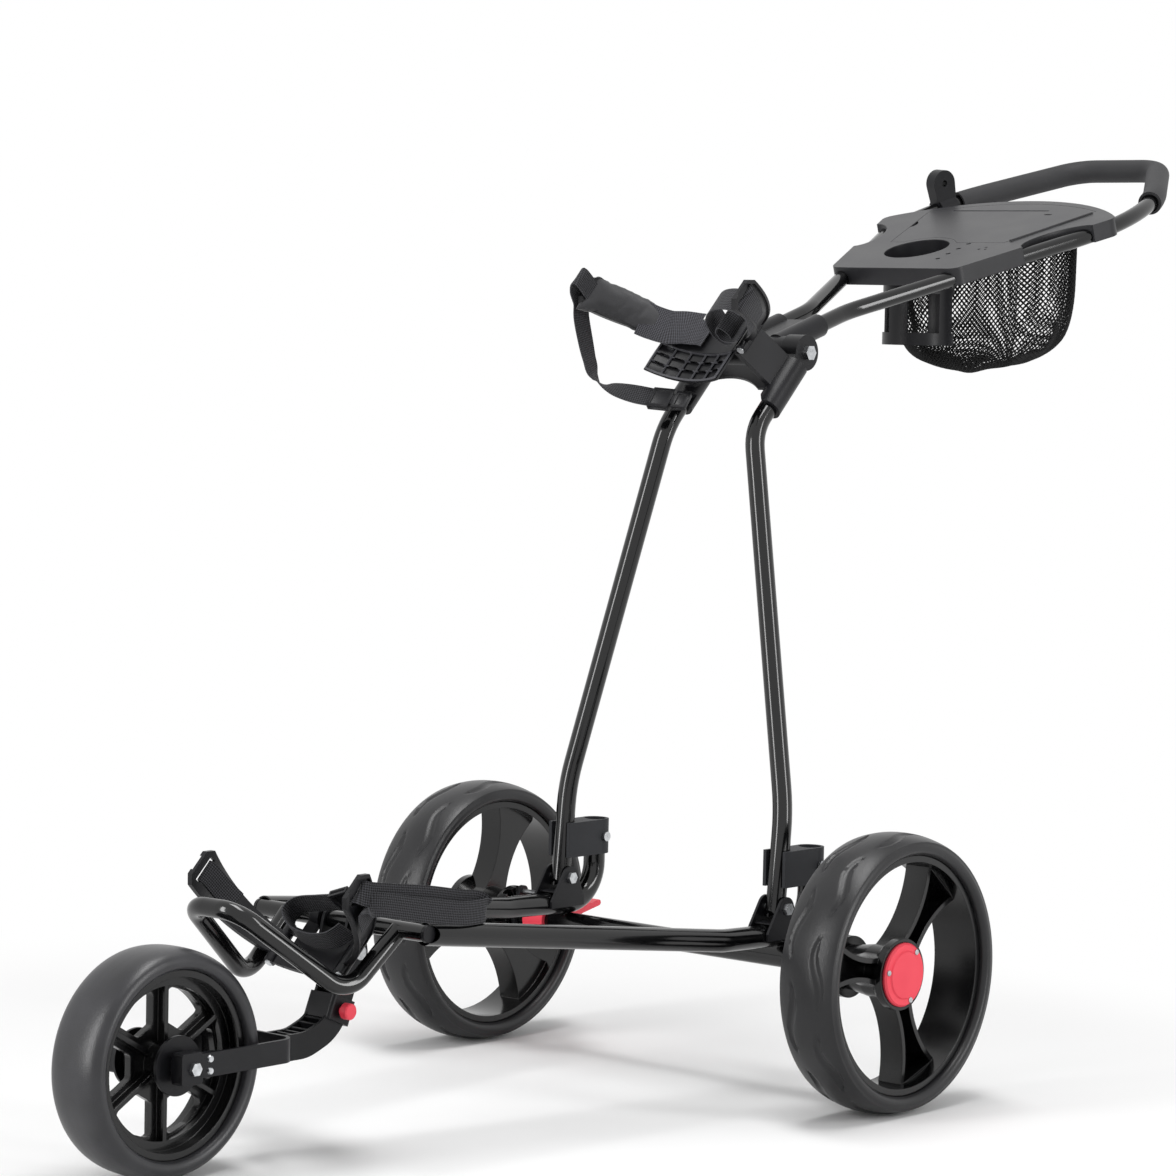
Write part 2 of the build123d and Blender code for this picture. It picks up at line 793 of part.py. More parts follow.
with BuildPart() as wheel_nuts:
    for side, hand in sides:
        with BuildSketch(side_plane(side * (wheel_x + hub_reach_out + seat_gap), 0, axle_z, side)):
            RegularPolygon(nut_radius, 6)
            Circle(axle_radius, mode=Mode.SUBTRACT)
        extrude(amount=nut_height)

with BuildPart() as cross_tube:
    with BuildSketch(side_plane(-cross_tube_length / 2, cross_tube_y, cross_tube_z)):
        Circle(cross_tube_radius)
        Circle(cross_tube_radius - tube_wall, mode=Mode.SUBTRACT)
    extrude(amount=cross_tube_length)
save(cross_tube.part, "front_cross_tube")

with BuildPart() as cross_caps:
    for side, hand in sides:
        with BuildSketch(side_plane(side * cross_tube_length / 2, cross_tube_y, cross_tube_z, side)):
            Circle(cross_tube_radius + 0.5)
        extrude(amount=end_cap_thickness, taper=8)

with BuildPart() as tube_caps:
    for side, hand in sides:
        with BuildSketch(Plane(origin=at(side * mast_half_width, upturn_y, upturn_top_z))):
            Circle(side_tube_radius)
        extrude(amount=end_cap_thickness, taper=15)
    add(cross_caps.part)
save(tube_caps.part, "tube_end_caps")

# Bag rest bar: one tube bent to a loop whose narrow nose rises to the front
with BuildPart() as bag_bar:
    add(
        bent_tube(
            (
                at(bag_bar_half, cross_tube_y, cross_tube_z),
                at(bag_bar_corner_half, bag_bar_corner_y, bag_bar_corner_z),
                at(bag_bar_nose_half, bag_bar_nose_y, bag_bar_nose_z),
                at(-bag_bar_nose_half, bag_bar_nose_y, bag_bar_nose_z),
                at(-bag_bar_corner_half, bag_bar_corner_y, bag_bar_corner_z),
                at(-bag_bar_half, cross_tube_y, cross_tube_z),
            ),
            (bag_bar_corner_radius, bag_bar_nose_radius, bag_bar_nose_radius, bag_bar_corner_radius),
            bag_bar_radius,
        )
    )
    with BuildSketch(side_plane(-cross_tube_length, cross_tube_y, cross_tube_z)):
        Circle(cross_tube_radius)
    extrude(amount=2 * cross_tube_length, mode=Mode.SUBTRACT)
    bag_bar_solids = bag_bar.solids().sort_by(SortBy.VOLUME)
save(bag_bar_solids[-1], "bag_rest_bar")

# Front bracket: two cheeks hung from the cross tube, with a web in front of the arm as its stop
cheek_inner = arm_width / 2 + 0.5
cheek_low = 30.0
stop_front = arm_depth / 2 + seat_gap + bracket_plate / 2
cheek_spots = (
    (cross_tube_y, cross_tube_z, cross_tube_radius + 3),
    (arm_pivot_y, arm_pivot_z, arm_pin_radius + 7),
    (arm_pivot_y + cheek_low * stem_y, arm_pivot_z + cheek_low * stem_z, 9),
    (
        arm_pivot_y + cheek_low * stem_y + stop_front * stem_z,
        arm_pivot_z + cheek_low * stem_z - stop_front * stem_y,
        6,
    ),
)
with BuildPart() as front_bracket:
    for side, hand in sides:
        with BuildSketch(side_plane(side * cheek_inner, 0, 0, side)) as cheek:
            for spot_y, spot_z, spot_radius in cheek_spots:
                with Locations((spot_y, side * spot_z)):
                    Circle(spot_radius)
            make_hull()
        extrude(amount=bracket_plate)
    web_plane = Plane(
        origin=at(0, arm_pivot_y + cheek_low * stem_y, arm_pivot_z + cheek_low * stem_z),
        x_dir=along_x,
        z_dir=(0, stem_y, stem_z),
    )
    with BuildSketch(web_plane):
        with Locations((0, stop_front)):
            Rectangle(2 * cheek_inner, bracket_plate)
    extrude(amount=5, both=True)
    with BuildSketch(side_plane(-arm_width, cross_tube_y, cross_tube_z)):
        Circle(cross_tube_radius)
    extrude(amount=2 * arm_width, mode=Mode.SUBTRACT)
    with BuildSketch(side_plane(-arm_width, arm_pivot_y, arm_pivot_z)):
        Circle(arm_pin_radius)
    extrude(amount=2 * arm_width, mode=Mode.SUBTRACT)
save(front_bracket.part, "front_bracket")

pin_half = cheek_inner + bracket_plate
with BuildPart() as arm_pin:
    with BuildSketch(side_plane(-pin_half, arm_pivot_y, arm_pivot_z)):
        Circle(arm_pin_radius)
    extrude(amount=2 * pin_half)
    for side, hand in sides:
        with BuildSketch(side_plane(side * pin_half, arm_pivot_y, arm_pivot_z, side)):
            Circle(arm_pin_radius + 2.5)
        extrude(amount=2.5)

# Mast feet: a clevis welded over each side tube, its bolt, and the snap clip on the turned-up end
ear_gap = side_tube_radius + 0.1
ear_base_z = side_tube_rest_z - 2
web_z = side_tube_rest_z + side_tube_radius + rear_slope * clevis_length
with BuildPart() as clevises:
    for side, hand in sides:
        for face in (-1, 1):
            with BuildSketch(side_plane(side * mast_half_width + face * ear_gap, 0, 0, face)):
                with Locations((mast_pivot_y, face * mast_pivot_z)):
                    Circle(clevis_ear_radius)
                with Locations((mast_pivot_y - 4, face * (ear_base_z + 4))):
                    Rectangle(clevis_length, 8)
                make_hull()
                with Locations((mast_pivot_y, face * mast_pivot_z)):
                    Circle(mast_bolt_radius, mode=Mode.SUBTRACT)
                with Locations((0, face * axle_z)):
                    Circle(axle_tube_radius + 0.2, mode=Mode.SUBTRACT)
            extrude(amount=clevis_plate)
        with BuildSketch(Plane(origin=at(side * mast_half_width, mast_pivot_y - 4, web_z + 0.2))):
            Rectangle(2 * ear_gap, clevis_length * 0.6)
        extrude(amount=clevis_plate / 2)
save(clevises.part, "mast_clevises")

bolt_half = side_tube_radius + 0.1 + clevis_plate
with BuildPart() as mast_bolts:
    for side, hand in sides:
        with BuildSketch(side_plane(side * mast_half_width - bolt_half, mast_pivot_y, mast_pivot_z)):
            Circle(mast_bolt_radius)
        extrude(amount=2 * bolt_half)
        for face in (-1, 1):
            head = side_plane(side * mast_half_width + face * bolt_half, mast_pivot_y, mast_pivot_z, face)
            with BuildSketch(head):
                RegularPolygon(bolt_head_radius, 6)
            extrude(amount=bolt_head_height)

mast_foot = (mast_pivot_y, mast_pivot_z)
foot_lean = Vector(0, mast_bend_y - mast_pivot_y, mast_bend_z - mast_pivot_z).normalized()
clip_mid_z = clip_low_z + clip_height / 2
upright_at_clip = mast_pivot_y + (clip_mid_z - mast_pivot_z) * foot_lean.Y / foot_lean.Z
clip_half = upright_radius + 0.5 + clip_jaw
clip_front_y = upright_at_clip - clip_jaw_reach
with BuildPart() as clips:
    for side, hand in sides:
        with BuildSketch(Plane(origin=at(side * mast_half_width, 0, clip_low_z))):
            with Locations((0, (clip_front_y + upturn_y) / 2)):
                Rectangle(2 * clip_half, upturn_y - clip_front_y)
            with Locations((0, upturn_y)):
                Circle(side_tube_radius + clip_jaw - 0.5)
        extrude(amount=clip_height)
        slot_plane = Plane(
            origin=at(side * mast_half_width, upright_at_clip, clip_mid_z), x_dir=along_x, z_dir=foot_lean
        )
        with BuildSketch(slot_plane):
            Circle(upright_radius + 0.5)
            Rectangle(2 * upright_radius + 1, clip_height * 2, align=(Align.CENTER, Align.MAX))
        extrude(amount=clip_height, both=True, mode=Mode.SUBTRACT)
        with BuildSketch(Plane(origin=at(side * mast_half_width, upturn_y, clip_low_z - 1))):
            Circle(side_tube_radius)
        extrude(amount=clip_height + 2, mode=Mode.SUBTRACT)
        with BuildSketch(side_plane(side * mast_half_width - 2 * clip_half, upturn_y, clip_mid_z)):
            Circle(clip_bolt_radius)
        extrude(amount=4 * clip_half, mode=Mode.SUBTRACT)
save(clips.part, "mast_clips")

clip_bolt_half = side_tube_radius + clip_jaw - 0.5
with BuildPart() as clip_bolts:
    for side, hand in sides:
        with BuildSketch(side_plane(side * mast_half_width - clip_bolt_half, upturn_y, clip_mid_z)):
            Circle(clip_bolt_radius)
        extrude(amount=2 * clip_bolt_half)
        for face in (-1, 1):
            head = side_plane(side * mast_half_width + face * clip_bolt_half, upturn_y, clip_mid_z, face)
            with BuildSketch(head):
                Circle(bolt_head_radius - 1.5)
            extrude(amount=bolt_head_height - 1)

# Uprights: bent tubes with rounded feet on the clevis bolts
top_start = bag_point(upper_bag_y, upper_bag_z, 0, sleeve_back, mast_top_start)
top_end = bag_point(upper_bag_y, upper_bag_z, 0, sleeve_back, sleeve_high)
upright_pair = []
for side, hand in sides:
    foot = at(side * mast_half_width, *mast_foot) - foot_lean * (upright_radius + 1)
    with BuildPart() as upright:
        add(
            bent_tube(
                (
                    foot,
                    at(side * mast_half_width, mast_bend_y, mast_bend_z),
                    Vector(side * mast_top_half, top_start.Y, top_start.Z),
                    Vector(side * mast_top_half, top_end.Y, top_end.Z),
                ),
                (mast_bend_radius, mast_top_bend_radius),
                upright_radius,
            )
        )
        with BuildSketch(side_plane(side * mast_half_width - 2 * upright_radius, *mast_foot)):
            Rectangle(6 * upright_radius, 2 * upright_radius + 4, align=(Align.CENTER, Align.MAX))
            Circle(upright_radius + 0.2, mode=Mode.SUBTRACT)
        extrude(amount=4 * upright_radius, mode=Mode.SUBTRACT)
        with BuildSketch(side_plane(side * mast_half_width - 2 * upright_radius, *mast_foot)):
            Circle(mast_bolt_radius + running_gap)
        extrude(amount=4 * upright_radius, mode=Mode.SUBTRACT)
        upright_pair.append(upright.solids().sort_by(SortBy.VOLUME)[-1])
with BuildPart() as uprights:
    add(upright_pair)
save(uprights.part, "uprights")


# Bag cradles: curved panels with lugs, and wings hinged on pins parallel to the bag
wing_pivot_radius = bag_radius + wing_pivot_offset
wing_pivot_u = wing_pivot_radius * sin(radians(wing_pivot_angle))
wing_pivot_b = wing_pivot_radius * cos(radians(wing_pivot_angle))


def arc_band(inner, outer, from_angle, to_angle):
    ends = []
    for radius in (inner, outer):
        for angle in (from_angle, (from_angle + to_angle) / 2, to_angle):
            ends.append((radius * sin(radians(angle)), radius * cos(radians(angle))))
    with BuildSketch() as band:
        with BuildLine():
            ThreePointArc(ends[0], ends[1], ends[2])
            Line(ends[2], ends[5])
            ThreePointArc(ends[5], ends[4], ends[3])
            Line(ends[3], ends[0])
        make_face()
    return band.sketch


def cradle_lugs(bag_y, bag_z, shift):
    with BuildPart() as lugs:
        for end in (-1, 1):
            low = shift + end * (wing_barrel_length / 2 + seat_gap) - (wing_lug_length if end < 0 else 0)
            with BuildSketch(bag_plane(bag_y, bag_z, low)):
                for side, hand in sides:
                    add(
                        arc_band(
                            bag_radius + 0.4,
                            bag_radius + panel_thickness - 0.4,
                            side * (panel_half_angle - 2),
                            side * (wing_pivot_angle - 1.5),
                        )
                    )
                    with Locations((side * wing_pivot_u, wing_pivot_b)):
                        Circle(wing_barrel_radius)
            extrude(amount=wing_lug_length)
    return lugs.part


def pin_pair(bag_y, bag_z, low, length, radius):
    with BuildPart() as pair:
        with BuildSketch(bag_plane(bag_y, bag_z, low)):
            with Locations((wing_pivot_u, wing_pivot_b), (-wing_pivot_u, wing_pivot_b)):
                Circle(radius)
        extrude(amount=length)
    return pair.part


def wing_prism(bag_y, bag_z, shift, side, inset):
    half = wing_tip_width / 2 - inset
    root = wing_barrel_length / 2 - inset
    tip = bag_radius * cos(radians(wing_tip_angle)) - 6 + inset
    bevel = 14.0
    shoulder = wing_pivot_b - wing_barrel_radius - 1.5
    with BuildPart() as prism:
        with BuildSketch(bag_side_plane(bag_y, bag_z)):
            with BuildLine():
                Polyline(
                    (2 * bag_radius, shift + root),
                    (shoulder, shift + root),
                    (tip + bevel, half),
                    (tip, half - bevel),
                    (tip, bevel - half),
                    (tip + bevel, -half),
                    (shoulder, shift - root),
                    (2 * bag_radius, shift - root),
                    close=True,
                )
            make_face()
        extrude(amount=2 * side * bag_radius)
    return prism.part


def wing(name, bag_y, bag_z, shift, side):
    root = wing_barrel_length / 2
    root_angle = wing_pivot_angle + degrees(asin((wing_barrel_radius - 1) / wing_pivot_radius))
    far = max(abs(shift), wing_tip_width / 2) + panel_width
    outside = bag_radius + wing_thickness
    slot_b = bag_radius * cos(radians(wing_tip_angle)) + wing_slot_margin
    with BuildPart() as rib:
        with BuildSketch(bag_plane(bag_y, bag_z, -far)):
            add(arc_band(outside, outside + wing_rib_height, side * (root_angle + 4), side * wing_tip_angle))
        extrude(amount=2 * far)
        add(wing_prism(bag_y, bag_z, shift, side, 0), mode=Mode.INTERSECT)
        add(wing_prism(bag_y, bag_z, shift, side, wing_rib_width), mode=Mode.SUBTRACT)
    with BuildPart() as piece:
        with BuildSketch(bag_plane(bag_y, bag_z, -far)):
            add(arc_band(bag_radius, outside, side * (root_angle - 3), side * wing_tip_angle))
        extrude(amount=2 * far)
        add(wing_prism(bag_y, bag_z, shift, side, 0), mode=Mode.INTERSECT)
        with BuildSketch(bag_side_plane(bag_y, bag_z)):
            with Locations((slot_b, 0)):
                Rectangle(wing_slot_width, wing_slot_length, align=(Align.MIN, Align.CENTER))
        extrude(amount=2 * side * bag_radius, mode=Mode.SUBTRACT)
        add(rib.part)
        with BuildSketch(bag_plane(bag_y, bag_z, shift - root)):
            with Locations((side * wing_pivot_u, wing_pivot_b)):
                Circle(wing_barrel_radius)
        extrude(amount=wing_barrel_length)
        add(
            pin_pair(bag_y, bag_z, shift - root, wing_barrel_length, wing_pin_radius + running_gap),
            mode=Mode.SUBTRACT,
        )
    save(piece.part, name)


def wing_pins(bag_y, bag_z, shift):
    half = wing_barrel_length / 2 + seat_gap + wing_lug_length
    with BuildPart() as pins:
        add(pin_pair(bag_y, bag_z, shift - half, 2 * half, wing_pin_radius))
        add(pin_pair(bag_y, bag_z, shift - half - 2, 2, wing_pin_radius + 1.8))
        add(pin_pair(bag_y, bag_z, shift + half, 2, wing_pin_radius + 1.8))
    return pins.part


# Lower cradle body: clamped on the front cross tube
cross_along = (cross_tube_y - lower_bag_y) * bag_cos + (cross_tube_z - lower_bag_z) * bag_sin
lower_high = lower_root_shift + panel_width / 2
lower_low = lower_root_shift - panel_width / 2
clamp_from = 24.0
clamp_width = 13.0
with BuildPart() as lower_body:
    with BuildSketch(bag_plane(lower_bag_y, lower_bag_z, lower_low)):
        add(arc_band(bag_radius, bag_radius + panel_thickness, -panel_half_angle, panel_half_angle))
    extrude(amount=panel_width)
    tab_from = degrees(asin(clamp_from / bag_radius))
    with BuildSketch(bag_plane(lower_bag_y, lower_bag_z, lower_high)):
        for side, hand in sides:
            add(arc_band(bag_radius, bag_radius + panel_thickness, side * tab_from, side * panel_half_angle))
    extrude(amount=cross_along - lower_high)
    for side, hand in sides:
        with BuildSketch(side_plane(side * clamp_from, cross_tube_y, cross_tube_z, side)):
            Circle(cross_tube_radius + 4)
        extrude(amount=clamp_width)
    with BuildSketch(side_plane(-cross_tube_length, cross_tube_y, cross_tube_z)):
        Circle(cross_tube_radius)
    extrude(amount=2 * cross_tube_length, mode=Mode.SUBTRACT)
    add(cradle_lugs(lower_bag_y, lower_bag_z, lower_root_shift))
    add(front_bracket.part, mode=Mode.SUBTRACT)
    add(
        pin_pair(lower_bag_y, lower_bag_z, lower_root_shift - panel_width, 2 * panel_width, wing_pin_radius),
        mode=Mode.SUBTRACT,
    )
save(lower_body.part, "lower_cradle_body")
with BuildPart() as chassis_fasteners:
    add(wheel_nuts.part)
    add(arm_pin.part)
    add(mast_bolts.part)
    add(clip_bolts.part)
    add(wing_pins(lower_bag_y, lower_bag_z, lower_root_shift))
save(chassis_fasteners.part, "chassis_fasteners")
for side, hand in sides:
    wing(f"lower_wing_{hand}", lower_bag_y, lower_bag_z, lower_root_shift, side)
    wing(f"upper_wing_{hand}", upper_bag_y, upper_bag_z, upper_root_shift, side)

# Mast bracket: ribbed bag panel, side cheeks, sleeves on the uprights and bosses for the handle hinge
panel_low = upper_root_shift - panel_width / 2
sleeve_radius = upright_radius + sleeve_wall
boss_ends = {1: boss_outer, -1: mast_top_half + sleeve_radius + seat_gap}
arch_along = panel_low + 10 - bracket_arch_radius
with BuildPart() as mast_bracket:
    with BuildSketch(bag_plane(upper_bag_y, upper_bag_z, panel_low)):
        add(arc_band(bag_radius, bag_radius + panel_thickness, -panel_half_angle, panel_half_angle))
    extrude(amount=panel_width)
    with BuildSketch(bag_plane(upper_bag_y, upper_bag_z, panel_low - panel_drop)):
        add(arc_band(bag_radius + 2.5, bag_radius + panel_thickness, -panel_half_angle, panel_half_angle))
    extrude(amount=panel_drop)
    with BuildSketch(bag_plane(upper_bag_y, upper_bag_z, panel_low - band_thickness - 0.4)):
        add(arc_band(bag_radius, bag_radius + 2 * panel_thickness, -band_from_angle + 1, -band_to_angle - 1))
    extrude(amount=band_thickness + 0.4, mode=Mode.SUBTRACT)
    with BuildSketch(bag_plane(upper_bag_y, upper_bag_z, panel_low)):
        for side, hand in sides:
            with BuildLine():
                Polyline(
                    (side * (wing_pivot_u - 14), wing_pivot_b + 6),
                    (side * (wing_pivot_u - 6.5), wing_pivot_b + 7.5),
                    (side * (mast_top_half - 1), sleeve_back - sleeve_radius + 3),
                    (side * (mast_top_half - 8), sleeve_back - sleeve_radius + 5),
                    close=True,
                )
            make_face()
    extrude(amount=panel_width)
    with BuildSketch(bag_plane(upper_bag_y, upper_bag_z, sleeve_low)):
        for side, hand in sides:
            with Locations((side * mast_top_half, sleeve_back)):
                Circle(sleeve_radius)
    extrude(amount=sleeve_high - sleeve_low)
    hinge_spot = bag_point(upper_bag_y, upper_bag_z, 0, sleeve_back, hinge_rise)
    for side, hand in sides:
        boss_plane = Plane(
            origin=Vector(side * boss_inner, hinge_spot.Y, hinge_spot.Z),
            x_dir=(0, bag_sin, -bag_cos),
            z_dir=(side, 0, 0),
        )
        with BuildSketch(boss_plane):
            Circle(boss_radius)
            with Locations((0, -side * (hinge_rise - sleeve_high + 6) / 2)):
                Rectangle(2 * sleeve_radius - 4, hinge_rise - sleeve_high + 6)
        extrude(amount=boss_ends[side] - boss_inner)
    with BuildSketch(bag_plane(upper_bag_y, upper_bag_z, panel_low - 6)):
        with Locations((0, sleeve_back - sleeve_radius + 2)):
            Rectangle(2 * mast_top_half - 2 * sleeve_wall, 4)
    extrude(amount=34)
    arch_plane = Plane(
        origin=bag_point(upper_bag_y, upper_bag_z, 0, sleeve_back - 2 * sleeve_radius, arch_along),
        x_dir=along_x,
        z_dir=(0, bag_sin, -bag_cos),
    )
    with BuildSketch(arch_plane):
        Circle(bracket_arch_radius)
    extrude(amount=2 * sleeve_radius, mode=Mode.SUBTRACT)
    with BuildSketch(bag_plane(upper_bag_y, upper_bag_z, sleeve_low - 1)):
        for side, hand in sides:
            with Locations((side * mast_top_half, sleeve_back)):
                Circle(upright_radius)
    extrude(amount=sleeve_high - sleeve_low + 1, mode=Mode.SUBTRACT)
    with BuildSketch(side_plane(-2 * boss_outer, hinge_y, hinge_z)):
        Circle(hinge_bolt_radius)
    extrude(amount=4 * boss_outer, mode=Mode.SUBTRACT)
    add(cradle_lugs(upper_bag_y, upper_bag_z, upper_root_shift))
    add(
        pin_pair(upper_bag_y, upper_bag_z, upper_root_shift - panel_width, 2 * panel_width, wing_pin_radius),
        mode=Mode.SUBTRACT,
    )
save(mast_bracket.part, "mast_bracket")

# Handle hinge: bolt, root with two tube sleeves, clamp knob
knob_face = boss_ends[-1] + seat_gap
with BuildPart() as hinge_bolt:
    with BuildSketch(side_plane(-knob_face - knob_thickness, hinge_y, hinge_z)):
        Circle(hinge_bolt_radius)
    extrude(amount=boss_outer + knob_face + knob_thickness)
    with BuildSketch(side_plane(boss_outer, hinge_y, hinge_z)):
        RegularPolygon(bolt_head_radius + 2, 6)
    extrude(amount=bolt_head_height + 2)
    add(wing_pins(upper_bag_y, upper_bag_z, upper_root_shift))
save(hinge_bolt.part, "mast_fasteners")

root_sleeve_radius = handle_tube_radius + root_sleeve_wall
root_half = boss_inner - 0.5
with BuildPart() as handle_root:
    with BuildSketch(side_plane(-root_half, hinge_y, hinge_z)):
        Circle(root_barrel_radius)
    extrude(amount=2 * root_half)
    with BuildSketch(Plane(origin=tube_plane.origin, x_dir=along_x, z_dir=tube_plane.y_dir)):
        with Locations((handle_half_start, 0), (-handle_half_start, 0)):
            Circle(root_sleeve_radius)
        Rectangle(2 * handle_half_start, root_sleeve_radius)
    extrude(amount=handle_start + root_sleeve_length)
    with BuildSketch(Plane(origin=tube_plane.origin, x_dir=along_x, z_dir=tube_plane.y_dir).offset(handle_start)):
        with Locations((handle_half_start, 0), (-handle_half_start, 0)):
            Circle(handle_tube_radius)
    extrude(amount=root_sleeve_length + 1, mode=Mode.SUBTRACT)
    with BuildSketch(side_plane(-boss_outer, hinge_y, hinge_z)):
        Circle(hinge_bolt_radius + running_gap)
    extrude(amount=2 * boss_outer, mode=Mode.SUBTRACT)
save(handle_root.part, "handle_root")

with BuildPart() as knob:
    with BuildSketch(side_plane(-knob_face, hinge_y, hinge_z, -1)):
        with PolarLocations(knob_lobe_circle, 3, start_angle=-90):
            Circle(knob_lobe_radius)
        make_hull()
    extrude(amount=knob_thickness)
    fillet(knob.faces().sort_by(Axis.X)[0].edges(), 4)
    with BuildSketch(side_plane(-knob_face - knob_thickness, hinge_y, hinge_z, -1)):
        Circle(knob_insert_radius)
    extrude(amount=knob_insert_height)
    with BuildSketch(side_plane(-knob_face, hinge_y, hinge_z, -1)):
        Circle(hinge_bolt_radius + running_gap)
    extrude(amount=knob_thickness, mode=Mode.SUBTRACT)
save(knob.part, "clamp_knob")

# Handle tube: one loop, close together at the hinge, spreading past the tray and closing at the grip
loop = (
    (handle_half_start, handle_start),
    (handle_half_start, handle_bend_start),
    (handle_wide_half, handle_wide_at),
    (handle_end_half, handle_end_at),
    (-handle_end_half, handle_end_at),
    (-handle_wide_half, handle_wide_at),
    (-handle_half_start, handle_bend_start),
    (-handle_half_start, handle_start),
)
loop_radii = (
    handle_bend_start_radius,
    handle_wide_radius,
    handle_end_radius,
    handle_end_radius,
    handle_wide_radius,
    handle_bend_start_radius,
)
with BuildLine(tube_plane) as loop_path:
    FilletPolyline(*loop, radius=loop_radii)
with BuildPart() as handle_tube:
    with BuildSketch(Plane(origin=loop_path.line @ 0, z_dir=loop_path.line % 0)):
        Circle(handle_tube_radius)
        Circle(handle_tube_radius - tube_wall, mode=Mode.SUBTRACT)
    sweep(path=loop_path.line)
save(handle_tube.part, "handle_tube")

with BuildPart() as grip:
    with BuildSketch(Plane(origin=loop_path.line @ 0, z_dir=loop_path.line % 0)):
        Circle(grip_radius)
        Circle(handle_tube_radius, mode=Mode.SUBTRACT)
    sweep(path=loop_path.line)
    grip_cut = Plane(origin=tube_plane.from_local_coords((0, grip_from, 0)), z_dir=tube_plane.y_dir)
    split(bisect_by=grip_cut, keep=Keep.TOP)
save(grip.part, "foam_grip")

# Console tray: a plate between the handle tubes with skirts that clip over them, holes and a lid recess
tube_lean = (handle_wide_half - handle_half_start) / (handle_wide_at - handle_bend_start)


def tube_u(along):
    return handle_half_start + tube_lean * (along - handle_bend_start)


tray_wide_half = tube_u(tray_rear_corner) - 2
with BuildSketch() as tray_outline:
    front_half = tube_u(tray_front) + tray_side_margin
    rear_half = tray_wide_half + tray_side_margin
    with BuildLine():
        Line((-rear_half, tray_rear_corner), (-front_half, tray_front))
        Line((-front_half, tray_front), (front_half, tray_front))
        Line((front_half, tray_front), (rear_half, tray_rear_corner))
        ThreePointArc(
            (rear_half, tray_rear_corner), (0, tray_rear_corner + tray_rear_bow), (-rear_half, tray_rear_corner)
        )
    make_face()
    fillet(tray_outline.vertices(), tray_corner_radius)

with BuildSketch() as lid_outline:
    with BuildLine():
        Line((lid_far_rear_u, lid_rear), (lid_far_front_u, lid_front))
        Line((lid_far_front_u, lid_front), (lid_hinge_front_u, lid_front))
        Line((lid_hinge_front_u, lid_front), (lid_hinge_rear_u, lid_rear))
        ThreePointArc((lid_hinge_rear_u, lid_rear), (0, lid_rear + lid_bow), (lid_far_rear_u, lid_rear))
    make_face()
    fillet(lid_outline.vertices().group_by(Axis.X)[0], 8)
    with Locations((cup_u, cup_at)):
        Circle(cup_radius + cup_wall + 5, mode=Mode.SUBTRACT)

lid_floor = tray_top - lid_thickness - lid_gap
hinge_run = Vector(lid_hinge_rear_u - lid_hinge_front_u, lid_rear - lid_front, 0)
hinge_way = hinge_run.normalized()
hinge_start = Vector(lid_hinge_front_u, lid_front, 0) + hinge_way * 8
hinge_length = hinge_run.length - 16
hinge_side = Vector(hinge_way.Y, -hinge_way.X, 0)
hinge_start = hinge_start + hinge_side * (lid_barrel_radius + 0.6)


def lid_hinge_plane(along):
    spot = hinge_start + hinge_way * along
    origin = handle_plane.from_local_coords((spot.X, spot.Y, tray_top - 0.2))
    way = handle_plane.from_local_coords(hinge_way) - handle_plane.origin
    out = handle_plane.from_local_coords(hinge_side) - handle_plane.origin
    return Plane(origin=origin, x_dir=out, z_dir=way)


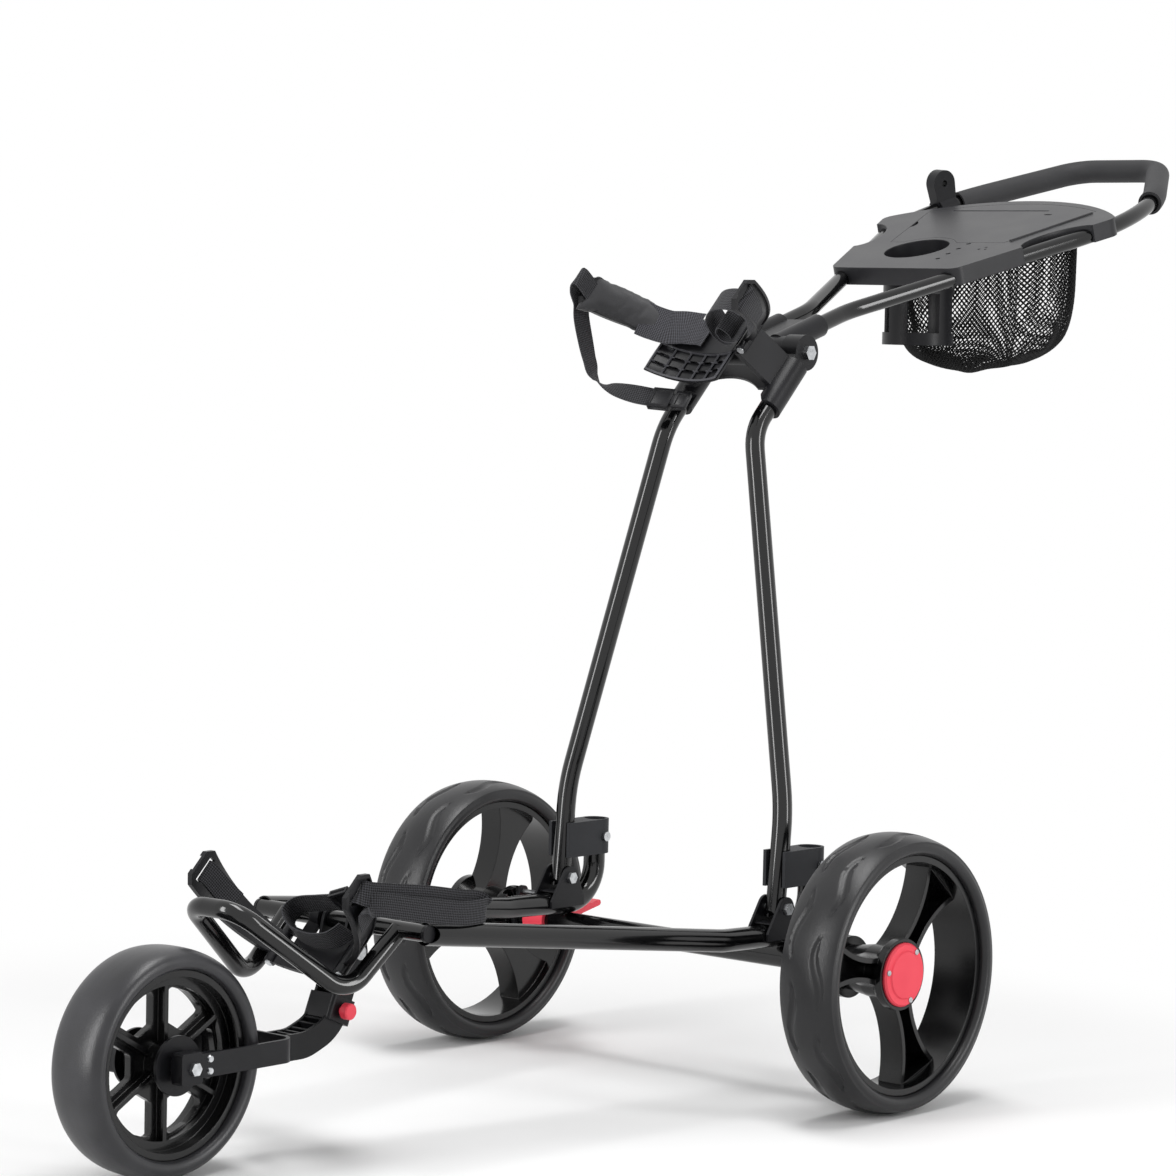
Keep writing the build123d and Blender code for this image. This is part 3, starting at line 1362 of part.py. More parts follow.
lean_angle = degrees(atan2(tube_lean, 1))
with BuildPart() as tray:
    with BuildSketch(handle_plane.offset(tray_top - tray_plate)):
        add(tray_outline.sketch)
    extrude(amount=tray_plate)
    with BuildSketch(handle_plane.offset(handle_rise - tray_skirt)):
        add(tray_outline.sketch)
        offset(tray_outline.sketch, amount=-tray_wall, mode=Mode.SUBTRACT)
    extrude(amount=tray_top - tray_plate - handle_rise + tray_skirt)
    with BuildSketch(handle_plane.offset(handle_rise - tray_skirt)):
        strip_mid = (tray_front + tray_rear_corner) / 2
        for side, hand in sides:
            with Locations(Location((side * tube_u(strip_mid), strip_mid, 0), (0, 0, -side * lean_angle))):
                Rectangle(2 * tray_inner_margin, 2 * (tray_rear_corner - tray_front))
        add(tray_outline.sketch, mode=Mode.INTERSECT)
    extrude(amount=tray_top - tray_plate - handle_rise + tray_skirt)
    with BuildSketch(handle_plane.offset(handle_rise - tray_skirt)):
        with Locations((cup_u, cup_at)):
            Circle(cup_radius + cup_wall)
    extrude(amount=tray_top - handle_rise + tray_skirt)
    with BuildSketch(handle_plane.offset(lid_floor)):
        offset(lid_outline.sketch, amount=lid_gap)
    extrude(amount=tray_plate * 2, mode=Mode.SUBTRACT)
    with BuildSketch(handle_plane.offset(handle_rise - 4 * tray_skirt)):
        offset(lid_outline.sketch, amount=-lid_ledge)
        with Locations((cup_u, cup_at)):
            Circle(cup_radius)
        for number in range(tee_count):
            with Locations((tee_u, tee_from + number * tee_pitch)):
                Circle(tee_radius)
        with Locations((marker_u, marker_at)):
            with PolarLocations(marker_circle_radius, 3, start_angle=90):
                Circle(marker_radius)
    extrude(amount=tray_skirt * 8, mode=Mode.SUBTRACT)
    arch_mid = (arch_from + arch_to) / 2
    with BuildSketch(handle_plane.offset(handle_rise - 4 * tray_skirt)):
        for side, hand in sides:
            arch_edge = side * (tube_u(arch_mid) + tray_side_margin)
            with Locations(Location((arch_edge, arch_mid, 0), (0, 0, -side * lean_angle))):
                Ellipse(arch_bite, (arch_to - arch_from) / 2)
    extrude(amount=tray_skirt * 8, mode=Mode.SUBTRACT)
    with BuildSketch(Plane(origin=loop_path.line @ 0, z_dir=loop_path.line % 0)):
        Circle(handle_tube_radius)
    sweep(path=loop_path.line, mode=Mode.SUBTRACT)
    with BuildSketch(lid_hinge_plane(-0.5)):
        Circle(lid_barrel_radius + 0.4)
        with Locations((0, tray_top - lid_floor - 0.2)):
            Rectangle(lid_barrel_radius + 1.5, 2 * lid_thickness, align=(Align.MAX, Align.MAX))
    extrude(amount=hinge_length + 1, mode=Mode.SUBTRACT)
    for along in (0.0, hinge_length / 2 - lid_lug_length / 2, hinge_length - lid_lug_length):
        with BuildSketch(lid_hinge_plane(along)):
            Circle(lid_barrel_radius)
            with Locations((0, -0.2)):
                Rectangle(2 * lid_barrel_radius, tray_plate, align=(Align.MIN, Align.MIN))
        extrude(amount=lid_lug_length)
    with BuildSketch(lid_hinge_plane(-1)):
        Circle(lid_pin_radius)
    extrude(amount=hinge_length + 2, mode=Mode.SUBTRACT)
save(tray.part, "console_tray")

# Tray lid: hinged along its left edge on a thin pin, with a card slit and a finger notch
lid_low = tray_top - lid_thickness
with BuildPart() as lid:
    with BuildSketch(handle_plane.offset(lid_low)):
        add(lid_outline.sketch)
        with Locations(((lid_slit_from + lid_slit_to) / 2, lid_slit_at)):
            SlotOverall(lid_slit_to - lid_slit_from, lid_slit_width, mode=Mode.SUBTRACT)
        with Locations((lid_notch_u, lid_notch_at)):
            SlotOverall(lid_notch_length, lid_notch_width, mode=Mode.SUBTRACT)
        finger_share = (finger_notch_at - lid_front) / (lid_rear - lid_front)
        finger_u = lid_far_front_u + finger_share * (lid_far_rear_u - lid_far_front_u)
        with Locations((finger_u - finger_notch_radius * 0.8, finger_notch_at)):
            Circle(finger_notch_radius, mode=Mode.SUBTRACT)
    extrude(amount=lid_thickness)
    gap_length = hinge_length / 2 - 1.5 * lid_lug_length
    for along in (lid_lug_length, hinge_length / 2 + lid_lug_length / 2):
        with BuildSketch(lid_hinge_plane(along + seat_gap)):
            Circle(lid_barrel_radius)
            with Locations((0, -0.2)):
                Rectangle(3 * lid_barrel_radius, lid_thickness, align=(Align.MAX, Align.MIN))
        extrude(amount=gap_length - 2 * seat_gap)
    with BuildSketch(lid_hinge_plane(-1)):
        Circle(lid_pin_radius + running_gap)
    extrude(amount=hinge_length + 2, mode=Mode.SUBTRACT)
save(lid.part, "tray_lid")

with BuildPart() as lid_pin:
    with BuildSketch(lid_hinge_plane(0)):
        Circle(lid_pin_radius)
    extrude(amount=hinge_length)
save(lid_pin.part, "lid_pin")

# Cup cradle: hangs plumb under the cup hole, with four legs, a rim band and an open floor ring
cup_top = handle_plane.from_local_coords((cup_u, cup_at, handle_rise - tray_skirt))
cup_low = cup_top - Vector(0, 0, cup_cradle_depth)
cup_plane = Plane(origin=cup_low, x_dir=along_x)
tray_under = handle_plane.offset(handle_rise - tray_skirt)
with BuildPart() as cup_cradle:
    with BuildSketch(cup_plane):
        Circle(cup_radius + cup_wall)
        Circle(cup_radius / 2, mode=Mode.SUBTRACT)
    extrude(amount=cup_wall)
    with BuildSketch(cup_plane):
        Circle(cup_radius + cup_wall)
        Circle(cup_radius, mode=Mode.SUBTRACT)
    extrude(amount=cup_ring_height)
    with BuildSketch(cup_plane.offset(cup_cradle_depth - cup_collar_depth)):
        Circle(cup_radius + cup_wall)
        Circle(cup_radius, mode=Mode.SUBTRACT)
    extrude(amount=2 * cup_collar_depth)
    with BuildSketch(cup_plane):
        Circle(cup_radius + cup_wall)
        with PolarLocations(cup_radius, cup_leg_count, start_angle=0):
            Rectangle(4 * cup_wall, cup_leg_width, mode=Mode.INTERSECT)
        Circle(cup_radius, mode=Mode.SUBTRACT)
    extrude(amount=cup_cradle_depth)
    split(bisect_by=tray_under, keep=Keep.BOTTOM)
save(cup_cradle.part, "cup_cradle")


# Net bag: hangs plumb under the lid opening, open at the top
def net_section(depth, front, rear, front_half, rear_half, corner):
    lag = depth * tan(radians(handle_slope))
    with BuildSketch(handle_plane.offset(tray_top - tray_plate - depth)) as section:
        with BuildLine():
            Polyline(
                (-front_half, front - lag),
                (front_half, front - lag),
                (rear_half, rear - lag),
                (-rear_half, rear - lag),
                close=True,
            )
        make_face()
        fillet(section.vertices(), corner)
    return section.sketch


def net_body(inset, floor):
    levels = ((0.0, 0.0), (0.5, 4.0), (0.86, 12.0), (1.0, 32.0))
    sections = []
    for share, shrink in levels:
        depth = share * (net_depth - floor)
        pull = shrink + inset
        sections.append(
            net_section(
                depth,
                net_front + pull,
                net_rear - pull,
                net_front_half - pull,
                net_rear_half - pull,
                net_corner_share * (net_rear - net_front - 2 * pull),
            )
        )
    with BuildPart() as body:
        loft(sections, ruled=True)
    return body.part


with BuildPart() as net_bag:
    add(net_body(0.0, 0.0))
    add(net_body(net_wall, net_wall), mode=Mode.SUBTRACT)
save(net_bag.part, "net_bag")

# Umbrella holder: a clamp on the right handle tube with a bored lug that stands up from it
wide_turn = atan2(handle_wide_half - handle_half_start, handle_wide_at - handle_bend_start)
end_turn = atan2(handle_wide_half - handle_end_half, handle_end_at - handle_wide_at)
wide_tangent = handle_wide_radius * tan((wide_turn + end_turn) / 2)
arc_u = handle_wide_half - wide_tangent * sin(wide_turn) - handle_wide_radius * cos(wide_turn)
arc_s = handle_wide_at - wide_tangent * cos(wide_turn) + handle_wide_radius * sin(wide_turn)
umbrella_turn = asin((umbrella_along - arc_s) / handle_wide_radius)
umbrella_u = -(arc_u + handle_wide_radius * cos(umbrella_turn))
turn_sin, turn_cos = sin(umbrella_turn), cos(umbrella_turn)
umbrella_way = tube_plane.from_local_coords((turn_sin, turn_cos, 0)) - tube_plane.origin
umbrella_across = tube_plane.from_local_coords((turn_cos, -turn_sin, 0)) - tube_plane.origin
umbrella_spot = tube_plane.from_local_coords((umbrella_u, umbrella_along, 0))
clamp_plane = Plane(origin=umbrella_spot, x_dir=umbrella_across, z_dir=umbrella_way)
lug_plane = Plane(origin=umbrella_spot, x_dir=umbrella_way, z_dir=umbrella_across)
with BuildPart() as umbrella_holder:
    with BuildSketch(clamp_plane):
        Circle(handle_tube_radius + umbrella_wall)
    extrude(amount=umbrella_length / 2, both=True)
    with BuildSketch(lug_plane):
        with Locations((0, umbrella_lug_height - umbrella_lug_radius + handle_tube_radius)):
            Circle(umbrella_lug_radius)
        Rectangle(umbrella_length, handle_tube_radius * 2)
        make_hull()
    extrude(amount=umbrella_lug_thickness / 2, both=True)
    with BuildSketch(lug_plane):
        with Locations((0, umbrella_lug_height - umbrella_lug_radius + handle_tube_radius)):
            Circle(umbrella_bore_radius)
    extrude(amount=umbrella_lug_thickness, both=True, mode=Mode.SUBTRACT)
    with BuildSketch(Plane(origin=loop_path.line @ 0, z_dir=loop_path.line % 0)):
        Circle(handle_tube_radius)
    sweep(path=loop_path.line, mode=Mode.SUBTRACT)
save(umbrella_holder.part, "umbrella_holder")

# Foot brake on the right: pedal round the axle tube, and a lock pin that slides into the toothed ring
pedal_hub_inner = pedal_inner_x + (pedal_width - pedal_hub_width) / 2
with BuildPart() as pedal:
    with BuildSketch(side_plane(-pedal_hub_inner, 0, axle_z, -1)):
        Circle(axle_tube_radius + pedal_hub_wall)
    extrude(amount=pedal_hub_width)
    tilt = radians(pedal_tilt)
    paddle_plane = Plane(origin=at(-pedal_inner_x, 0, axle_z), x_dir=(0, cos(tilt), sin(tilt)), z_dir=(-1, 0, 0))
    with BuildSketch(paddle_plane):
        with Locations(((axle_tube_radius + pedal_reach) / 2, 0)):
            RectangleRounded(pedal_reach - axle_tube_radius, pedal_thickness, pedal_thickness / 2 - 0.2)
    extrude(amount=pedal_width)
    with BuildSketch(side_plane(0, 0, axle_z, -1)):
        Circle(axle_tube_radius + running_gap)
    extrude(amount=wheel_x, mode=Mode.SUBTRACT)
save(pedal.part, "brake_pedal")

pin_y = brake_pin_circle_radius * cos(radians(brake_pin_angle))
pin_z = axle_z + brake_pin_circle_radius * sin(radians(brake_pin_angle))
pin_tip = ring_face - brake_pin_gap
with BuildPart() as brake_pin:
    with BuildSketch(side_plane(-pin_tip, pin_y, pin_z)):
        Circle(brake_pin_radius)
    extrude(amount=brake_pin_length)
    with BuildSketch(side_plane(-pin_tip + brake_pin_length, pin_y, pin_z)):
        Circle(brake_pin_radius + 2)
    extrude(amount=3)
save(brake_pin.part, "brake_pin")

with BuildPart() as brake_plate_piece:
    with BuildSketch(side_plane(-ring_face + 3, 0, 0)):
        with Locations((0, axle_z)):
            Circle(axle_tube_radius + 4)
        with Locations((pin_y, pin_z)):
            Circle(brake_pin_radius + 4)
        make_hull()
        with Locations((0, axle_z)):
            Circle(axle_tube_radius, mode=Mode.SUBTRACT)
        with Locations((pin_y, pin_z)):
            Circle(brake_pin_radius + running_gap, mode=Mode.SUBTRACT)
    extrude(amount=brake_plate)
save(brake_plate_piece.part, "brake_guide_plate")

# Webbing on the lower wings, threaded through the slots, with a free loop on the left
slot_mid = bag_radius * cos(radians(wing_tip_angle)) + wing_slot_margin + wing_slot_width / 2
slot_angle = degrees(radians(90) - asin(slot_mid / bag_radius))
strap_from = slot_angle - 4
outside = bag_radius + wing_thickness


def threaded_strap(bag_y, bag_z, side):
    bridge = degrees(webbing_thickness / bag_radius) / 2
    with BuildPart() as strap:
        with BuildSketch(bag_plane(bag_y, bag_z, -webbing_width / 2)):
            inner = bag_radius - 0.1
            outer = outside + 0.1
            add(arc_band(inner - webbing_thickness, inner, side * strap_from, side * slot_angle))
            add(arc_band(outer, outer + webbing_thickness, side * strap_from, side * slot_angle))
            add(
                arc_band(
                    bag_radius - webbing_thickness - 0.1,
                    outside + webbing_thickness + 0.1,
                    side * (slot_angle - bridge),
                    side * (slot_angle + bridge),
                )
            )
        extrude(amount=webbing_width)
    return strap.part


save(threaded_strap(lower_bag_y, lower_bag_z, -1), "lower_strap_right")
save(threaded_strap(upper_bag_y, upper_bag_z, 1), "upper_strap_left")

tail_gap = 9.0
tail_u = outside + webbing_thickness + tail_gap / 2 + 0.5
tail_start = bag_point(lower_bag_y, lower_bag_z, tail_u, slot_mid, 0)
tail_end = bag_point(lower_bag_y, lower_bag_z, tail_u, slot_mid + strap_tail_back, strap_tail_along)
tail_run = tail_end - tail_start
tail_plane = Plane(origin=(tail_start + tail_end) / 2, x_dir=tail_run, z_dir=tail_run.cross(Vector(-1, 0, 0)))
with BuildPart() as strap_tail:
    with BuildSketch(tail_plane):
        SlotOverall(tail_run.length, tail_gap)
        fold = 2 * webbing_thickness
        SlotOverall(tail_run.length - fold, tail_gap - fold, mode=Mode.SUBTRACT)
    extrude(amount=webbing_width / 2, both=True)
    add(threaded_strap(lower_bag_y, lower_bag_z, 1))
save(strap_tail.part, "lower_strap_left")

# Upper cradle soft goods: pad sleeve on the right wing, elastic band and hook, webbing and buckle
pad_out = outside + wing_rib_height
with BuildPart() as pad_hollow:
    with BuildSketch(bag_plane(upper_bag_y, upper_bag_z, -2 * panel_width)):
        add(arc_band(bag_radius - 0.1, pad_out + 0.1, -pad_from_angle + 5, -pad_to_angle - 5))
    extrude(amount=4 * panel_width)
    add(wing_prism(upper_bag_y, upper_bag_z, upper_root_shift, -1, -0.1), mode=Mode.INTERSECT)
with BuildPart() as pad_sleeve:
    with BuildSketch(bag_plane(upper_bag_y, upper_bag_z, -2 * panel_width)):
        add(arc_band(bag_radius - pad_thickness, pad_out + pad_thickness, -pad_from_angle, -pad_to_angle))
    extrude(amount=4 * panel_width)
    add(wing_prism(upper_bag_y, upper_bag_z, upper_root_shift, -1, -pad_thickness), mode=Mode.INTERSECT)
    add(pad_hollow.part, mode=Mode.SUBTRACT)
save(pad_sleeve.part, "upper_pad_sleeve")

with BuildPart() as elastic_band:
    with BuildSketch(bag_plane(upper_bag_y, upper_bag_z, panel_low - band_thickness)):
        add(
            arc_band(
                bag_radius - band_thickness,
                bag_radius + panel_thickness + band_thickness,
                -band_from_angle,
                -band_to_angle,
            )
        )
    extrude(amount=panel_width + 2 * band_thickness)
    with BuildSketch(bag_plane(upper_bag_y, upper_bag_z, panel_low - 0.2)):
        add(arc_band(bag_radius - 0.2, bag_radius + panel_thickness + 0.2, -panel_half_angle, panel_half_angle))
    extrude(amount=panel_width + 0.4, mode=Mode.SUBTRACT)
save(elastic_band.part, "elastic_band")


def upper_point(across, back, along):
    return bag_point(upper_bag_y, upper_bag_z, across, back, along)


hook_u = -(bag_radius - band_thickness) * sin(radians((band_from_angle + band_to_angle) / 2))
hook_b = (bag_radius - band_thickness) * cos(radians((band_from_angle + band_to_angle) / 2)) - hook_wire - 0.1
hook_high = panel_low + panel_width
with BuildPart() as hook:
    with BuildLine() as hook_path:
        FilletPolyline(
            upper_point(hook_u, hook_b, hook_high - 22),
            upper_point(hook_u, hook_b, hook_high + 7),
            upper_point(hook_u, hook_b - 11, hook_high + 7),
            upper_point(hook_u, hook_b - 11, hook_high - 8),
            radius=4.5,
        )
    with BuildSketch(Plane(origin=hook_path.line @ 0, z_dir=hook_path.line % 0)):
        Circle(hook_wire)
    sweep()
save(hook.part, "wire_hook")

with BuildPart() as webbing:
    with BuildLine() as webbing_path:
        FilletPolyline(
            upper_point(-outside - 5, slot_mid, -4),
            upper_point(-outside - webbing_out, slot_mid + 0.3 * webbing_fall, -0.5 * webbing_drop),
            upper_point(-outside - webbing_out, slot_mid + 0.92 * webbing_fall, -webbing_drop),
            upper_point(-outside + 12, slot_mid + 1.08 * webbing_fall, -webbing_drop),
            upper_point(-webbing_end_u, bag_radius + 9, -webbing_end_along),
            radius=14,
        )
    webbing_start = Plane(webbing_path.line @ 0, x_dir=(0, bag_sin, -bag_cos), z_dir=webbing_path.line % 0)
    with BuildSketch(webbing_start):
        Rectangle(webbing_width, webbing_thickness)
    sweep()
save(webbing.part, "upper_webbing")

buckle_plane = Plane(origin=webbing_path.line @ 1, x_dir=(0, bag_sin, -bag_cos), z_dir=webbing_path.line % 1)
with BuildPart() as buckle:
    with BuildSketch(buckle_plane.offset(0.1)):
        RectangleRounded(buckle_thickness, buckle_width, 3)
    extrude(amount=buckle_length * 0.6)
    with BuildSketch(buckle_plane.offset(buckle_length * 0.6)):
        RectangleRounded(buckle_thickness - 2, buckle_width * 0.75, 2.5)
    extrude(amount=buckle_length * 0.4)
save(buckle.part, "strap_buckle")
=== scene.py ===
import math

import bpy
from mathutils import Matrix, Vector


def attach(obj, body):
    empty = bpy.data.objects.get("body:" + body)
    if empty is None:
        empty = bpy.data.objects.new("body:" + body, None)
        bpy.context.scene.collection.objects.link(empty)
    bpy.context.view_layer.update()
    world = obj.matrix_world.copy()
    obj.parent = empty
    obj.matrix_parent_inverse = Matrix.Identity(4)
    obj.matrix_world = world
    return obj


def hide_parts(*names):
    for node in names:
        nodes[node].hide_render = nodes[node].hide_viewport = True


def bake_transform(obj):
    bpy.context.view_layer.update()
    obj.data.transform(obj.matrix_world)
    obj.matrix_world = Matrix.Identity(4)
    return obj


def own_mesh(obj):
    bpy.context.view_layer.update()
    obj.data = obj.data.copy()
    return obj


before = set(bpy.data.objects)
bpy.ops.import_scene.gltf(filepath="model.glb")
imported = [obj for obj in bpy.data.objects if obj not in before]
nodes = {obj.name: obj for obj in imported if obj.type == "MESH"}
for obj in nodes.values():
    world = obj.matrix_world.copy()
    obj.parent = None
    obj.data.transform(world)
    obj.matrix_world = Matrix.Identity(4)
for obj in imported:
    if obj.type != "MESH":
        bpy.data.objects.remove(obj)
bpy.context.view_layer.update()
mm = 0.001
print("stage: frame loaded,", len(nodes), "nodes")

# shared places of the cart, in millimetres
cart = {
    "lowerBag": (0.0, -615.073, 283.5),
    "upperBag": (0.0, -23.507, 885.48),
    "bagSlope": 45.5,
    "bagRadius": 108.0,
    "hinge": (0.0, 148.914, 818.403),
    "handleSlope": 17.2,
    "rearAxle": (0.0, 21.927, 152.5),
    "wheelX": 300.5,
    "frontAxle": (0.0, -775.073, 115.0),
}
bagBack = Vector((0, math.sin(math.radians(cart["bagSlope"])), -math.cos(math.radians(cart["bagSlope"]))))
bagAlong = Vector((0, math.cos(math.radians(cart["bagSlope"])), math.sin(math.radians(cart["bagSlope"]))))
handleAlong = Vector((0, math.cos(math.radians(cart["handleSlope"])), math.sin(math.radians(cart["handleSlope"]))))
handleUp = Vector((0, -handleAlong.z, handleAlong.y))


def bagPoint(bag, across, back, along):
    return (Vector(cart[bag]) + Vector((across, 0, 0)) + bagBack * back + bagAlong * along) * mm


def bagArc(bag, radius, angle, along):
    turn = math.radians(angle)
    return bagPoint(bag, radius * math.sin(turn), radius * math.cos(turn), along)


def handlePoint(u, s, n):
    return (Vector(cart["hinge"]) + Vector((u, 0, 0)) + handleAlong * s + handleUp * n) * mm


# materials

def colour(code):
    # sRGB hex to linear
    parts = [int(code[i:i + 2], 16) / 255 for i in (1, 3, 5)]
    return [c / 12.92 if c <= 0.04045 else ((c + 0.055) / 1.055) ** 2.4 for c in parts] + [1.0]


def perMm(size):
    # texture scale for a feature this many millimetres across
    return 1000.0 / size


def addNode(tree, kind, links, **settings):
    node = tree.nodes.new(kind)
    for key, value in settings.items():
        setattr(node, key, value)
    for socket, value in links.items():
        if isinstance(value, bpy.types.NodeSocket):
            tree.links.new(value, node.inputs[socket])
        else:
            node.inputs[socket].default_value = value
    return node


def newMaterial(name):
    material = bpy.data.materials.new(name)
    material.use_nodes = True
    tree = material.node_tree
    shader = tree.nodes["Principled BSDF"]
    place = addNode(tree, "ShaderNodeTexCoord", {})
    return material, tree, shader, place


def twoTone(tree, fac, dark, light):
    # a colour ramp between two hex tones
    ramp = addNode(tree, "ShaderNodeValToRGB", {"Fac": fac})
    ramp.color_ramp.elements[0].color = colour(dark)
    ramp.color_ramp.elements[0].position = 0.3
    ramp.color_ramp.elements[1].color = colour(light)
    ramp.color_ramp.elements[1].position = 0.7
    return ramp.outputs["Color"]


def coatedTube():
    # polyester powder coat baked on aluminium tube: deep gloss black with a faint orange-peel ripple
    material, tree, shader, place = newMaterial("powderCoatGlossBlack")
    haze = addNode(tree, "ShaderNodeTexNoise", {"Vector": place.outputs["Object"], "Scale": perMm(70), "Detail": 3.0})
    ripple = addNode(tree, "ShaderNodeTexNoise", {"Vector": place.outputs["Object"], "Scale": perMm(14), "Detail": 1.0})
    rough = addNode(tree, "ShaderNodeMapRange", {"Value": haze.outputs["Fac"], "To Min": 0.1, "To Max": 0.16})
    bump = addNode(tree, "ShaderNodeBump", {"Height": ripple.outputs["Fac"], "Strength": 0.03, "Distance": 0.0004})
    tree.links.new(twoTone(tree, haze.outputs["Fac"], "#050506", "#09090a"), shader.inputs["Base Color"])
    tree.links.new(rough.outputs["Result"], shader.inputs["Roughness"])
    tree.links.new(bump.outputs["Normal"], shader.inputs["Normal"])
    shader.inputs["Specular IOR Level"].default_value = 0.5
    return material


def mouldedPlastic(name, dark, light, roughLow, roughHigh, grain, edge, level=0.22):
    # injection moulded plastic: spark-eroded grain, slightly cloudy tone, softly rounded edges
    material, tree, shader, place = newMaterial(name)
    spot = place.outputs["Object"]
    cloud = addNode(tree, "ShaderNodeTexNoise", {"Vector": spot, "Scale": perMm(55), "Detail": 4.0})
    spark = addNode(tree, "ShaderNodeTexNoise", {"Vector": spot, "Scale": perMm(grain), "Detail": 2.0})
    rough = addNode(tree, "ShaderNodeMapRange",
                    {"Value": cloud.outputs["Fac"], "To Min": roughLow, "To Max": roughHigh})
    round_ = addNode(tree, "ShaderNodeBevel", {"Radius": edge * mm}, samples=4)
    bump = addNode(tree, "ShaderNodeBump", {"Height": spark.outputs["Fac"], "Strength": 0.12, "Distance": 0.0003,
                                            "Normal": round_.outputs["Normal"]})
    tree.links.new(twoTone(tree, cloud.outputs["Fac"], dark, light), shader.inputs["Base Color"])
    tree.links.new(rough.outputs["Result"], shader.inputs["Roughness"])
    tree.links.new(bump.outputs["Normal"], shader.inputs["Normal"])
    shader.inputs["Specular IOR Level"].default_value = level
    return material


def evaFoam(name, dark, light, cell, rough):
    # closed-cell foam with a moulded skin: matte dark grey, tiny closed cells
    material, tree, shader, place = newMaterial(name)
    cloud = addNode(tree, "ShaderNodeTexNoise", {"Vector": place.outputs["Object"], "Scale": perMm(40), "Detail": 5.0})
    cells = addNode(tree, "ShaderNodeTexVoronoi", {"Vector": place.outputs["Object"], "Scale": perMm(cell)})
    bump = addNode(tree, "ShaderNodeBump", {"Height": cells.outputs["Distance"], "Strength": 0.22, "Distance": 0.0004})
    tone = addNode(tree, "ShaderNodeMapRange", {"Value": cloud.outputs["Fac"], "To Min": rough, "To Max": rough + 0.12})
    tree.links.new(twoTone(tree, cloud.outputs["Fac"], dark, light), shader.inputs["Base Color"])
    tree.links.new(tone.outputs["Result"], shader.inputs["Roughness"])
    tree.links.new(bump.outputs["Normal"], shader.inputs["Normal"])
    shader.inputs["Specular IOR Level"].default_value = 0.4
    return material


def zincSteel():
    # bright zinc plated steel: fine turning marks and a slightly uneven plate
    material, tree, shader, place = newMaterial("brightZincSteel")
    cloud = addNode(tree, "ShaderNodeTexNoise", {"Vector": place.outputs["Object"], "Scale": perMm(6), "Detail": 4.0})
    rough = addNode(tree, "ShaderNodeMapRange", {"Value": cloud.outputs["Fac"], "To Min": 0.2, "To Max": 0.38})
    round_ = addNode(tree, "ShaderNodeBevel", {"Radius": 0.4 * mm}, samples=4)
    tree.links.new(twoTone(tree, cloud.outputs["Fac"], "#a9abae", "#cfd1d3"), shader.inputs["Base Color"])
    tree.links.new(rough.outputs["Result"], shader.inputs["Roughness"])
    tree.links.new(round_.outputs["Normal"], shader.inputs["Normal"])
    shader.inputs["Metallic"].default_value = 1.0
    return material


def wovenWebbing(name, dark, light, cell):
    # woven nylon tape: diagonal twill cells on the tape's own UV; drawn coarser than the real 1.5 mm so that it shows
    material, tree, shader, place = newMaterial(name)
    split = addNode(tree, "ShaderNodeSeparateXYZ", {"Vector": place.outputs["UV"]})
    waves = []
    for way in ("ADD", "SUBTRACT"):
        slant = addNode(tree, "ShaderNodeMath", {0: split.outputs["X"], 1: split.outputs["Y"]}, operation=way)
        slant = addNode(tree, "ShaderNodeMath", {0: slant.outputs[0], 1: math.tau * perMm(cell)}, operation="MULTIPLY")
        waves.append(addNode(tree, "ShaderNodeMath", {0: slant.outputs[0]}, operation="SINE").outputs[0])
    weave = addNode(tree, "ShaderNodeMath", {0: waves[0], 1: waves[1]}, operation="MULTIPLY")
    fac = addNode(tree, "ShaderNodeMapRange", {"Value": weave.outputs[0], "From Min": -1.0, "From Max": 1.0})
    bump = addNode(tree, "ShaderNodeBump", {"Height": fac.outputs["Result"], "Strength": 0.8, "Distance": 0.0008})
    tree.links.new(twoTone(tree, fac.outputs["Result"], dark, light), shader.inputs["Base Color"])
    tree.links.new(bump.outputs["Normal"], shader.inputs["Normal"])
    shader.inputs["Roughness"].default_value = 0.72
    shader.inputs["Sheen Weight"].default_value = 0.1
    shader.inputs["Specular IOR Level"].default_value = 0.2
    return material


def neopreneCloth():
    # nylon-faced neoprene: fine knit on a soft sponge, dull grey-black with a little sheen
    material, tree, shader, place = newMaterial("nylonFacedNeoprene")
    cloud = addNode(tree, "ShaderNodeTexNoise", {"Vector": place.outputs["Object"], "Scale": perMm(30), "Detail": 5.0})
    knit = addNode(tree, "ShaderNodeTexVoronoi", {"Vector": place.outputs["Object"], "Scale": perMm(1.1)})
    bump = addNode(tree, "ShaderNodeBump", {"Height": knit.outputs["Distance"], "Strength": 0.35, "Distance": 0.0004})
    tree.links.new(twoTone(tree, cloud.outputs["Fac"], "#2e2e30", "#3a3a3c"), shader.inputs["Base Color"])
    tree.links.new(bump.outputs["Normal"], shader.inputs["Normal"])
    shader.inputs["Roughness"].default_value = 0.8
    shader.inputs["Sheen Weight"].default_value = 0.3
    shader.inputs["Specular IOR Level"].default_value = 0.25
    return material


